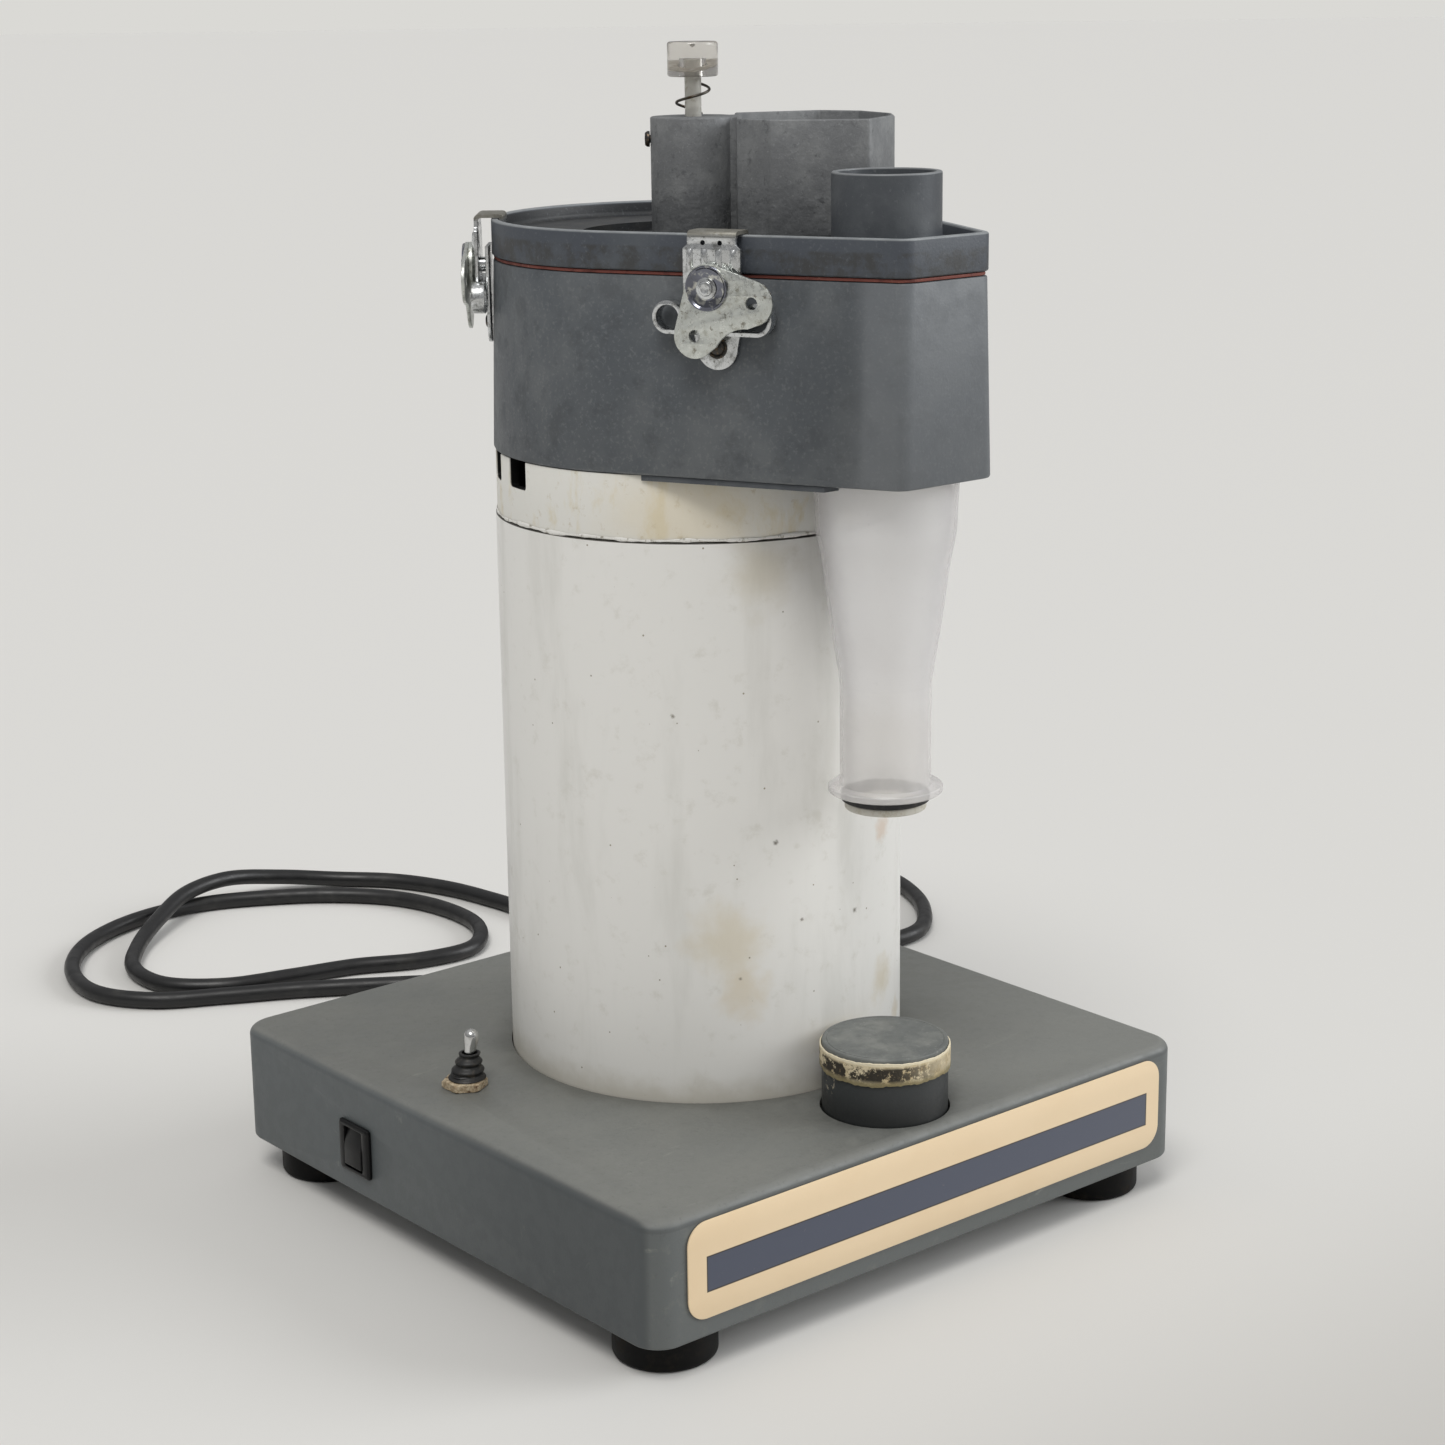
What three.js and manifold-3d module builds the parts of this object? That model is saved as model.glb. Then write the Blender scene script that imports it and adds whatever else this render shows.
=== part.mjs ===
// Bench-top cyclone mill: a square base, an upright motor tube, a teardrop milling head with a latched
// lid, a feed hopper with a sprung plunger, and a clear cyclone that drops the ground sample into a
// bottle standing on a sprung pedestal.
// Millimetres, +Z up. X runs along the label face, +Y to the back, and the origin is on the floor under
// the middle of the base.
import * as THREE from 'three';
import { mergeVertices } from 'three/addons/utils/BufferGeometryUtils.js';
import Module from 'manifold-3d';

const wasm = await Module();
wasm.setup();

// Clearances shared by the whole part
const seat = 0.3;
const slideGap = 0.4;
const overrun = 5;
const weld = 0.0005;

// How finely round pieces are cut
const largeSides = 40;
const mediumSides = 20;
const smallSides = 10;
const nutSides = 6;
const cornerSteps = 4;

// Feet
const footRadius = 20.6;
const footHeight = 15.1;
const footInset = 26.5;
const footEdge = 2.4;
const studRadius = 3;
const studLength = 8;

// Base housing and its bottom plate
const baseSide = 291;
const baseHeight = 51.8;
const baseWall = 3;
const baseCornerRadius = 12;
const baseTopRound = 4;
const baseBottomRound = 1.5;
const plateThickness = 2;

// Label plate on the front
const labelSideMargin = 15;
const labelTopMargin = 3.9;
const labelCorner = 9;
const labelThickness = 0.7;
const labelMiddleX = 1.2;
const labelRise = 8.3;

// Motor tube, its collar and the ring that it stands over
const axisX = 2;
const tubeRadius = 84.15;
const tubeWall = 4;
const tubeLength = 281.5;
const collarInset = 0.65;
const collarHeight = 26.2;
const ventWidth = 8;
const ventHeight = 11.5;
const ventCount = 9;
const firstVentTurn = 26;
const ventTurnStep = 18;
const tubeRingWidth = 9;
const tubeRingHeight = 8;

// Bottle pedestal, spring and guide
const pedestalRadius = 25.65;
const pedestalRise = 28.45;
const pedestalTopThickness = 5;
const pedestalWall = 2.8;
const pedestalSkirt = 55;
const pedestalFlangeLip = 2.85;
const pedestalTubeGap = 0.75;
const pedestalWallGap = 0.6;
const pedestalFlangeHeight = 4;
const pedestalBossWall = 3;
const pedestalBossLength = 38;
const pedestalBoreEnd = 2.5;
const pedestalTravel = 15;
const pedestalEdge = 1;
const bandThickness = 0.85;
const bandHeight = 10.5;
const bandDrop = 1.2;
const guideRadius = 8.5;
const guideFlangeRadius = 24;
const guideFlangeHeight = 2.4;
const pedestalWireRadius = 1.1;
const pedestalSpringTurns = 7;

// Rocker switch on the left side
const rockerMiddleY = 53;
const rockerRise = 21.1;
const bezelWidth = 22;
const bezelHeight = 22.5;
const bezelProud = 2;
const bezelDepth = 15;
const bezelLip = 1.8;
const bezelLipThickness = 1.7;
const rockerHalfWidth = 6.2;
const rockerHalfHeight = 8.6;
const rockerApex = 5.5;
const rockerBack = 3;
const rockerBackHalf = 3.4;
const rockerPivotDepth = 5;
const rockerThrow = 16;

// Toggle switch on top of the base
const togglePlaceShare = 0.5154;
const toggleY = 16.2;
const toggleLean = 9;
const togglePivotDepth = 3;
const bushingRadius = 6;
const bushingProud = 6.5;
const bushingMouthRadius = 4.2;
const toggleNutRadius = 9.6;
const toggleNutHeight = 3.2;
const toggleBodyWidth = 15;
const toggleBodyLength = 28;
const toggleBodyDepth = 20;
const toggleCavityRadius = 4.6;
const toggleCavityDepth = 10;
const leverNeckRadius = 2.2;
const leverTipRadius = 3;
const leverLength = 27.5;
const leverTail = 5;
const bootHeight = 10.5;
const bootFootRadius = 8;
const bootTopRadius = 4.5;
const bootRib = 0.9;
const bootRibs = 3;

// Milling head: teardrop body, gasket and lid
const headHeight = 76.5;
const headOverhang = 0.05;
const headDraft = 2.2;
const noseMargin = 3.5;
const noseDraft = 0.7;
const noseCorner = 7;
const headWall = 4.5;
const headLedge = 4.5;
const motorPlateThickness = 5;
const deckBottomRise = 26;
const deckThickness = 6;
const deckHoleRadius = 15;
const gasketThickness = 1.2;
const gasketInset = 0.4;
const lidOverhang = 0.5;
const lidNoseOverhang = 0.2;
const lidHeight = 14.4;
const lidRim = 3;
const lidFloor = 8.3;
const lidRecessMargin = 36;
const lidRecessFloor = 4.7;
const feedHoleRadius = 8;

// Grinding chamber
const chamberWall = 11;
const grindingRingDepth = 10.6;
const grindingGapAngle = 70;
const screenThickness = 1.6;
const screenSlots = 11;
const screenSlotWidth = 3;
const screenMargin = 6;
const impellerGap = 4;
const impellerDisc = 4;
const impellerHub = 14;
const impellerHubDrop = 6;
const impellerLift = 6;
const vaneCount = 8;
const vaneThickness = 3;
const vaneTopGap = 12.5;
const impellerNutRadius = 7.5;
const impellerNutHeight = 6.5;
const threadRadius = 4;
const threadProud = 2;
const inletWidth = 17;
const inletOffset = 1;
const inletFloorRise = 4;
const inletTopMargin = 6.5;

// Motor inside the tube
const canRoom = 16.15;
const canWall = 4;
const canLength = 160;
const canFloor = 6;
const statorDepth = 25.7;
const statorLength = 76;
const statorRise = 34;
const armatureGap = 0.8;
const armatureOverhang = 3;
const commutatorRadius = 15;
const commutatorLength = 20;
const shaftRadius = 6;
const shaftTail = 8;
const bearingRadius = 13;
const bearingWidth = 10;
const bearingHousingWall = 6;
const bearingFloor = 4;
const fanRoom = 14;
const fanThickness = 2;
const fanHubRadius = 12;
const fanHubHeight = 12;
const fanBladeHeight = 8;
const fanBladeThickness = 2;
const fanBlades = 8;
const fanRise = 17;

// Cyclone with its bottle seal, and the air outlet tube in the lid
const cycloneRadius = 28.2;
const cycloneWall = 2.5;
const cycloneTubeGap = 1.05;
const cycloneFlangeLip = 2;
const cycloneFlangeThickness = 3;
const cycloneBarrelDrop = 4;
const coneHeight = 79;
const neckRadius = 18;
const neckLength = 40.4;
const cycloneFootLip = 4.7;
const cycloneFootThickness = 4.6;
const bottleGasketInset = 0.5;
const bottleGasketThickness = 1.4;
const bottleRingInset = 1.8;
const bottleRingThickness = 3;
const bottleRingBoreInset = 5.6;
const coneShares = [[0.95, 0.87], [0.9, 0.76], [0.7, 0.62], [0.38, 0.32], [0.05, 0.05]];
const outletRadius = 20.9;
const outletWall = 2.4;
const outletRise = 22.1;
const outletFlangeLip = 3.1;
const outletFlangeThickness = 2.4;
const finderInset = 5.9;
const finderWall = 2;
const finderDrop = 34;

// Feed hopper with its plunger
const hopperHeight = 44.8;
const hopperTurn = -40;
const columnRadius = 17.4;
const hopperEndInset = 2.5;
const hopperHalfWidth = 41;
const hopperWall = 2.6;
const hopperStraight = 14;
const hopperFloorRise = 6;
const throatLength = 22;
const throatHalfWidth = 7.8;
const throatHeight = 16;
const hopperOverlap = 3.8;
const hopperOutlineShares = [
  [0, -0.56], [0.229, -0.97], [0.807, -1], [1, -0.3], [1, 0.14], [0.807, 0.76], [0.578, 1], [0.036, 0.66],
];
const plungerBoreLength = 24;
const feedBoreRadius = 8;
const stemRadius = 3.35;
const knobRadius = 10.2;
const knobHeight = 13.7;
const knobGap = 15.6;
const knobEdge = 0.8;
const plungerFootRadius = 6.6;
const plungerFootHeight = 5;
const feedWireRadius = 0.55;
const feedSpringRadius = 7.2;
const feedSpringEndShare = 0.6;
const feedSpringTurns = 2;
const screwHeadRadius = 3.15;
const screwHeadHeight = 2;
const screwHeadEdge = 0.5;
const screwShankRadius = 1.6;
const screwShankLength = 9;
const screwDrop = 8.8;
const screwSlotWidth = 0.9;
const screwSlotDepth = 0.8;

// Rotary draw latches on the head
const latchPivotDrop = 19;
const leftLatchAlongWall = 48.5;
const rightLatchAlongWall = 33;
const backLatchTurn = 140;
const latchSteel = 1.5;
const latchLift = 5;
const latchPostRadius = 3;
const latchHeadRadius = 4.1;
const latchHeadHeight = 1.5;
const latchBaseWidth = 20;
const latchBaseTop = 8;
const latchBaseShoulder = 16;
const latchBaseFoot = 23;
const latchFootRadius = 8.5;
const latchRivetRadius = 2;
const latchRivetProud = 0.8;
const hookStandOff = 4.5;
const hookWidth = 20;
const hookPlateWidth = 23.7;
const hookPlateTop = 14.2;
const hookPlateBottom = 14;
const hookLip = 5;
const hookRimGap = 1;
const hookHoleRadius = 0.9;
const hookHoleSpacing = 7;
const hookHoleRise = 16.4;
const hookRibs = 4;
const hookRibDepth = 0.8;
const camRadius = 9;
const camThickness = 2.6;
const wingAngle = -61.2;
const wingSpread = 91;
const wingReach = 18.8;
const lobeRadius = 8.5;
const lobeHoleRadius = 2.3;
const wingWaistRadius = 14;
const wingWaistDepth = 3;
const curlWidth = 5;
const curlSteel = 1.1;
const curlRadius = 5.5;
const curlHalfSpan = 18.3;
const curlDrop = 17.2;
const curlSweep = 288;
const curlSteps = 8;

// Mains cord: a hand-laid route on the floor behind the base, with the strain relief and the plug
const cordDiameter = 8.6;
const cordExitX = 95;
const cordExitRise = 14.6;
const reliefLength = 40;
const reliefFlangeRadius = 10.5;
const reliefFlangeThickness = 3;
const reliefRootRadius = 8;
const reliefTipRadius = 5.6;
const reliefNeckRadius = 6.5;
const reliefNeckLength = 9;
const cordSides = 8;
const cordSteps = 80;
const cordStraight = 8;
const cordLay = [
  [94.5, 211, 23.5], [91, 229, 11.5], [82, 246, 5.2], [66, 262, 4.4],
  [44, 279, 4.4], [16, 298, 4.4], [-14, 317, 4.4], [-46, 334, 4.4], [-76, 352, 4.4], [-93, 381, 4.4],
  [-88, 417, 4.4], [-67, 449, 4.4], [-38, 469, 4.4], [-6, 477.5, 4.4], [27, 475, 4.4], [58, 461, 4.4],
  [88, 440, 4.4], [112, 410, 4.4], [122, 373, 4.4], [117, 336, 4.4], [94, 310, 4.4], [62, 312, 4.4],
  [30, 327, 4.4], [-4, 336, 4.4], [-38, 347, 4.4], [-60, 370, 4.4], [-60, 402, 4.4], [-41, 432, 5.4],
  [-15, 455, 9.6], [12, 472, 14.2], [44, 481, 14], [76, 478, 9], [106, 463, 4.9], [130, 438, 4.4],
  [145, 405, 4.4], [152, 368, 4.4], [156, 330, 4.4], [166, 292, 4.4], [186, 248, 4.4], [216, 205, 4.4],
  [252, 172, 4.4], [290, 168, 4.4], [322, 195, 4.4], [342, 232, 4.4], [350, 274, 4.4], [352, 312, 4.4],
  [352, 350, 4.6], [352, 380, 6.4], [352, 395, 7.4], [352, 403, 7.4],
];
const plugWidth = 26;
const plugHeight = 14;
const plugBodyLength = 26;
const plugNeckLength = 16;
const plugNeckRadius = 6;
const bladeSpacing = 12.7;
const bladeWidth = 6.4;
const bladeThickness = 1.5;
const bladeLength = 16;
const earthPinRadius = 2.4;
const earthPinOffset = 4.6;
const bladeOffset = -2.3;

// Radii and places worked out from the sizes above
const collarRadius = tubeRadius - collarInset;
const pedestalFlangeRadius = pedestalRadius + pedestalFlangeLip;
const bandRadius = pedestalRadius + seat + bandThickness;
const cycloneFlangeRadius = cycloneRadius + cycloneFlangeLip;
const cycloneFootRadius = neckRadius + cycloneFootLip;
const bottleGasketRadius = neckRadius - bottleGasketInset;
const bottleRingRadius = neckRadius - bottleRingInset;
const bottleRingBore = neckRadius - bottleRingBoreInset;
const outletFlangeRadius = outletRadius + outletFlangeLip;
const finderRadius = outletRadius - finderInset;
const bottleReach = tubeRadius + Math.max(
  cycloneRadius + cycloneTubeGap, pedestalFlangeRadius + pedestalTubeGap,
);
const bottleAxisY = -bottleReach;
const headBottomRadius = tubeRadius + headOverhang;
const headTopRadius = headBottomRadius - headDraft;
const noseRadius = cycloneFlangeRadius + noseMargin;
const noseY = bottleAxisY - noseRadius;
const noseTurn = Math.asin((headTopRadius - noseRadius) / bottleReach);
const lidRadius = headTopRadius + lidOverhang;
const lidNoseY = noseY - lidNoseOverhang;
const lidRecessRadius = headTopRadius - lidRecessMargin;
const chamberRadius = headTopRadius - chamberWall;
const grindingRingInner = chamberRadius - slideGap - grindingRingDepth;
const impellerRadius = grindingRingInner - impellerGap;
const canRadius = tubeRadius - tubeWall - canRoom;
const statorInner = canRadius - canWall - seat - statorDepth;
const armatureRadius = statorInner - armatureGap;
const fanRadius = canRadius - canWall - fanRoom;
const hopperLength = lidRadius - hopperEndInset;
const baseHalf = baseSide / 2;
const baseFront = bottleAxisY - pedestalFlangeRadius - pedestalWallGap - baseWall;
const baseMiddleY = baseFront + baseHalf;
const baseBack = baseMiddleY + baseHalf;
const toggleX = axisX - tubeRadius - togglePlaceShare * (baseHalf + axisX - tubeRadius);

// Levels worked out from the sizes above
const plateBottom = footHeight + seat;
const plateTop = plateBottom + plateThickness;
const baseBottom = plateBottom;
const baseTop = baseBottom + baseHeight;
const tubeBottom = plateTop + seat;
const tubeTop = tubeBottom + tubeLength;
const collarBottom = tubeTop + seat;
const collarTop = collarBottom + collarHeight;
const headBottom = collarTop + seat;
const headTop = headBottom + headHeight;
const gasketBottom = headTop + seat;
const gasketTop = gasketBottom + gasketThickness;
const lidBottom = gasketTop + seat;
const rimTop = lidBottom + lidHeight;
const lidFloorTop = lidBottom + lidFloor;
const recessTop = lidBottom + lidRecessFloor;
const motorPlateBottom = headBottom + seat;
const motorPlateTop = motorPlateBottom + motorPlateThickness;
const headLedgeLevel = motorPlateTop + seat;
const deckBottom = headBottom + deckBottomRise;
const chamberFloor = deckBottom + deckThickness;
const hopperBottom = lidFloorTop + seat;
const hopperTop = hopperBottom + hopperHeight;
const pedestalTop = baseTop + pedestalRise;

// A closed geometry as a solid: vertices welded, empty triangles dropped, faces turned outwards
function solid(geometry) {
  const bare = geometry.clone();
  bare.deleteAttribute('normal');
  bare.deleteAttribute('uv');
  const welded = mergeVertices(bare, weld);
  const place = welded.attributes.position;
  const index = welded.index.array;
  const corners = [0, 1, 2].map(() => new THREE.Vector3());
  const faces = [];
  let volume = 0;
  for (let i = 0; i < index.length; i += 3) {
    const face = [index[i], index[i + 1], index[i + 2]];
    if (new Set(face).size < face.length) continue;
    faces.push(face);
    face.forEach((vertex, side) => corners[side].fromBufferAttribute(place, vertex));
    volume += corners[0].dot(corners[1].clone().cross(corners[2]));
  }
  const outward = volume < 0 ? faces.map(([a, b, c]) => [a, c, b]) : faces;
  return new wasm.Manifold(new wasm.Mesh({
    numProp: 3,
    vertProperties: new Float32Array(place.array),
    triVerts: new Uint32Array(outward.flat()),
  }));
}

// Rings of equal length stacked into one closed skin with flat ends
function skin(rings) {
  const count = rings[0].length;
  const positions = rings.flat().flatMap((point) => [point.x, point.y, point.z]);
  const faces = [];
  const top = (rings.length - 1) * count;
  for (let here = 0; here < top; here += count) {
    const next = here + count;
    for (let side = 0; side < count; side += 1) {
      const turn = (side + 1) % count;
      faces.push(here + side, here + turn, next + turn, here + side, next + turn, next + side);
    }
  }
  for (let side = 1; side < count - 1; side += 1) {
    faces.push(0, side + 1, side);
    faces.push(top, top + side, top + side + 1);
  }
  const geometry = new THREE.BufferGeometry();
  geometry.setAttribute('position', new THREE.Float32BufferAttribute(positions, 3));
  geometry.setIndex(faces);
  return geometry;
}

// A round bar along Z
function bar(radius, low, high, sides = mediumSides, x = 0, y = 0) {
  const geometry = new THREE.CylinderGeometry(radius, radius, high - low, sides);
  return geometry.rotateX(Math.PI / 2).translate(x, y, (low + high) / 2);
}

// A rectangular block given by its middle, widths and levels
function block(x, y, width, depth, low, high) {
  return new THREE.BoxGeometry(width, depth, high - low).translate(x, y, (low + high) / 2);
}

// A profile of [radius, level] pairs turned about Z
function turned(profile, sides = mediumSides, x = 0, y = 0) {
  const points = profile.map(([radius, level]) => new THREE.Vector2(radius, level));
  return new THREE.LatheGeometry(points, sides).rotateX(Math.PI / 2).translate(x, y, 0);
}

// A tube wall: the closed profile of a ring
function ringWall(inner, outer, low, high, sides = mediumSides, x = 0, y = 0) {
  const profile = [[inner, low], [outer, low], [outer, high], [inner, high], [inner, low]];
  return turned(profile, sides, x, y);
}

// An outline of [x, y] pairs pushed up from one level to another
function prism(outline, low, high) {
  const shape = new THREE.Shape(outline.map(([x, y]) => new THREE.Vector2(x, y)));
  const geometry = new THREE.ExtrudeGeometry(shape, { depth: high - low, bevelEnabled: false });
  return geometry.translate(0, 0, low);
}

// Turns a geometry that was built lying down so that its depth runs towards the viewer at -Y
function standing(geometry) {
  return geometry.rotateX(Math.PI / 2);
}

// A polygon whose corners are arcs of the given radius
function rounded(corners, radius, steps = cornerSteps) {
  const outline = [];
  corners.forEach((corner, at) => {
    const here = new THREE.Vector2(...corner);
    const before = new THREE.Vector2(...corners[(at + corners.length - 1) % corners.length]);
    const after = new THREE.Vector2(...corners[(at + 1) % corners.length]);
    const back = before.sub(here).normalize();
    const on = after.sub(here).normalize();
    const half = Math.acos(THREE.MathUtils.clamp(back.dot(on), -1, 1)) / 2;
    const reach = radius / Math.tan(half);
    const middle = back.clone().add(on).normalize().multiplyScalar(radius / Math.sin(half)).add(here);
    const start = back.clone().multiplyScalar(reach).add(here).sub(middle);
    const end = on.clone().multiplyScalar(reach).add(here).sub(middle);
    const from = start.angle();
    let sweep = end.angle() - from;
    if (sweep > Math.PI) sweep -= 2 * Math.PI;
    if (sweep < -Math.PI) sweep += 2 * Math.PI;
    for (let step = 0; step <= steps; step += 1) {
      const turn = from + (sweep * step) / steps;
      outline.push([middle.x + radius * Math.cos(turn), middle.y + radius * Math.sin(turn)]);
    }
  });
  return outline;
}

// A rectangle about a middle, with round corners
function roundedRectangle(x, y, width, height, radius) {
  const [left, right] = [x - width / 2, x + width / 2];
  const [bottom, top] = [y - height / 2, y + height / 2];
  return rounded([[left, bottom], [right, bottom], [right, top], [left, top]], radius);
}

// The head's plan: a circle about the motor axis drawn out by two straight walls to a cut-off nose
function teardrop(radius, nose, corner = noseCorner) {
  const half = (radius + nose * Math.sin(noseTurn)) / Math.cos(noseTurn);
  const sweep = Math.PI + 2 * noseTurn;
  const arc = [];
  for (let step = 0; step <= largeSides; step += 1) {
    const turn = -noseTurn + (sweep * step) / largeSides;
    arc.push([radius * Math.cos(turn), radius * Math.sin(turn)]);
  }
  const [start, end] = [arc[0], arc[arc.length - 1]];
  const nosePoints = rounded([end, [-half, nose], [half, nose], start], corner)
    .slice(cornerSteps + 1, 3 * (cornerSteps + 1));
  return [...arc, ...nosePoints].map(([x, y]) => [x + axisX, y]);
}

// An outline lifted to a level, as a ring of points
function lifted(outline, level) {
  return outline.map(([x, y]) => new THREE.Vector3(x, y, level));
}

// Every solid of a list joined to or cut from the first
const joined = (first, ...rest) => rest.reduce((sum, next) => sum.add(next), first);
const cut = (first, ...rest) => rest.reduce((left, next) => left.subtract(next), first);

// Colours and finishes
const finishes = {
  casting: { color: 0x565c61, roughness: 0.55, metalness: 0.1 },
  basePaint: { color: 0x6c6f6d, roughness: 0.5, metalness: 0.1 },
  hopperMetal: { color: 0x737577, roughness: 0.6, metalness: 0.2 },
  tubePlastic: { color: 0xe2e2de, roughness: 0.4, metalness: 0 },
  label: { color: 0xe1cba9, roughness: 0.5, metalness: 0 },
  rubber: { color: 0x141414, roughness: 0.6, metalness: 0 },
  silicone: { color: 0x8c4a41, roughness: 0.6, metalness: 0 },
  clear: { color: 0xd6d4d6, roughness: 0.2, metalness: 0, transparent: true, opacity: 0.6 },
  cream: { color: 0xd8cdb4, roughness: 0.7, metalness: 0 },
  zinc: { color: 0xb4b4b0, roughness: 0.35, metalness: 0.9 },
  steel: { color: 0x9a9c9e, roughness: 0.35, metalness: 0.9 },
  copper: { color: 0x8a5a3c, roughness: 0.5, metalness: 0.6 },
  blackPlastic: { color: 0x171717, roughness: 0.4, metalness: 0 },
  abrasive: { color: 0x4a4640, roughness: 0.9, metalness: 0 },
};
const materials = Object.fromEntries(
  Object.entries(finishes).map(([name, look]) => [name, new THREE.MeshStandardMaterial(look)]),
);

// A solid as a named mesh of the model
function piece(parent, name, body, finish) {
  const shell = body.getMesh();
  const geometry = new THREE.BufferGeometry();
  geometry.setAttribute('position', new THREE.BufferAttribute(shell.vertProperties, 3));
  geometry.setIndex(new THREE.BufferAttribute(shell.triVerts, 1));
  geometry.computeVertexNormals();
  const mesh = new THREE.Mesh(geometry, materials[finish]);
  mesh.name = name;
  parent.add(mesh);
  return mesh;
}

// The least distance between two stretches of one wound tube, less its thickness
function leastGap(points, radius, apart) {
  let least = Infinity;
  for (let i = 0; i < points.length; i += 1) {
    for (let j = i + apart; j < points.length; j += 1) {
      least = Math.min(least, points[i].distanceTo(points[j]));
    }
  }
  return least - 2 * radius;
}

// A wire wound about Z: radiusAt gives the coil's radius for a share of its height
function coilSpring(name, turns, radiusAt, low, high, wireRadius) {
  const stepsPerCurl = 8;
  const wireSides = 5;
  const steps = Math.round(turns * stepsPerCurl);
  const at = (share) => {
    const turn = 2 * Math.PI * turns * share;
    const radius = radiusAt(share);
    return new THREE.Vector3(radius * Math.cos(turn), radius * Math.sin(turn), low + (high - low) * share);
  };
  const centres = Array.from({ length: steps + 1 }, (_, step) => at(step / steps));
  const rings = centres.map((centre, step) => {
    const before = centres[Math.max(step - 1, 0)];
    const after = centres[Math.min(step + 1, steps)];
    const along = after.clone().sub(before).normalize();
    const out = new THREE.Vector3(centre.x, centre.y, 0).normalize();
    const across = along.clone().cross(out).normalize();
    const flat = across.clone().cross(along);
    return Array.from({ length: wireSides }, (_, side) => {
      const turn = (2 * Math.PI * side) / wireSides;
      return centre.clone()
        .addScaledVector(flat, wireRadius * Math.cos(turn))
        .addScaledVector(across, wireRadius * Math.sin(turn));
    });
  });
  const gap = leastGap(centres, wireRadius, Math.round(stepsPerCurl / 2));
  console.log(`${name}: least gap to itself ${gap.toFixed(2)} mm`);
  return skin(rings);
}

const mill = new THREE.Group();
const atAxis = (geometry) => geometry.translate(axisX, 0, 0);
const atBottle = (geometry) => geometry.translate(axisX, bottleAxisY, 0);

// Feet: round rubber, a moulded-in stud up through the bottom plate
const footMiddle = baseHalf - footInset;
const footFront = baseMiddleY - footMiddle;
const footBack = baseMiddleY + footMiddle;
const footPlaces = {
  foot_front_left: [-footMiddle, footFront],
  foot_front_right: [footMiddle, footFront],
  foot_back_left: [-footMiddle, footBack],
  foot_back_right: [footMiddle, footBack],
};
const footProfile = [
  [0, 0], [footRadius - footEdge, 0], [footRadius, footEdge], [footRadius, footHeight],
  [studRadius, footHeight], [studRadius, footHeight + studLength], [0, footHeight + studLength],
];
for (const [name, [x, y]] of Object.entries(footPlaces)) {
  piece(mill, name, solid(turned(footProfile, mediumSides, x, y)), 'rubber');
}

// Bottom plate: closes the base, with a hole for each foot's stud
const plateSide = baseSide - 2 * (baseWall + slideGap);
const plateCorner = baseCornerRadius - baseWall;
const studHoles = Object.values(footPlaces).map(([x, y]) => solid(
  bar(studRadius + slideGap, plateBottom - overrun, plateTop + overrun, smallSides, x, y),
));
const plateSquare = roundedRectangle(0, baseMiddleY, plateSide, plateSide, plateCorner);
const bottomPlate = prism(plateSquare, plateBottom, plateTop);
piece(mill, 'base_plate', cut(solid(bottomPlate), ...studHoles), 'steel');

// Base housing: an open-bottomed box with round corners and a rounded top edge
function baseRing(inset, level) {
  const side = baseSide - 2 * inset;
  return lifted(roundedRectangle(0, baseMiddleY, side, side, baseCornerRadius - inset / 2), level);
}
const roundSteps = 3;
const topRings = Array.from({ length: roundSteps + 1 }, (_, step) => {
  const turn = (Math.PI / 2) * (step / roundSteps);
  return baseRing(baseTopRound * (1 - Math.cos(turn)), baseTop - baseTopRound * (1 - Math.sin(turn)));
});
const baseOuter = skin([
  baseRing(baseBottomRound, baseBottom),
  baseRing(0, baseBottom + baseBottomRound),
  ...topRings,
]);
const innerSide = baseSide - 2 * baseWall;
const baseInside = prism(
  roundedRectangle(0, baseMiddleY, innerSide, innerSide, baseCornerRadius - baseWall),
  baseBottom - overrun,
  baseTop - baseWall,
);
const rockerMiddleZ = baseBottom + rockerRise;
const rockerCut = block(
  -baseHalf,
  rockerMiddleY,
  2 * (baseWall + overrun),
  bezelWidth - 2 * bezelLip + 2 * slideGap,
  rockerMiddleZ - bezelHeight / 2 + bezelLip - slideGap,
  rockerMiddleZ + bezelHeight / 2 - bezelLip + slideGap,
);
const cordExitZ = baseBottom + cordExitRise;
const cordHole = standing(bar(reliefNeckRadius + slideGap, -overrun, baseWall + overrun, smallSides))
  .translate(cordExitX, baseBack, cordExitZ);
const topCutLow = baseTop - baseWall - overrun;
const topCutHigh = baseTop + overrun;
const baseHousing = cut(
  solid(baseOuter),
  solid(baseInside),
  solid(atAxis(bar(tubeRadius + slideGap, topCutLow, topCutHigh, largeSides))),
  solid(atBottle(bar(pedestalRadius + 2 * slideGap, topCutLow, topCutHigh))),
  solid(bar(bushingRadius + slideGap, topCutLow, topCutHigh, smallSides, toggleX, toggleY)),
  solid(rockerCut),
  solid(cordHole),
);
piece(mill, 'base_housing', baseHousing, 'basePaint');

// Label plate: a thin sheet with round corners, left blank
const labelWidth = baseSide - 2 * labelSideMargin;
const labelHeight = baseHeight - labelRise - labelTopMargin;
const labelOutline = roundedRectangle(0, 0, labelWidth, labelHeight, labelCorner);
const labelSheet = standing(prism(labelOutline, seat, seat + labelThickness))
  .translate(labelMiddleX, baseFront, baseBottom + labelRise + labelHeight / 2);
piece(mill, 'label_plate', solid(labelSheet), 'label');

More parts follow.
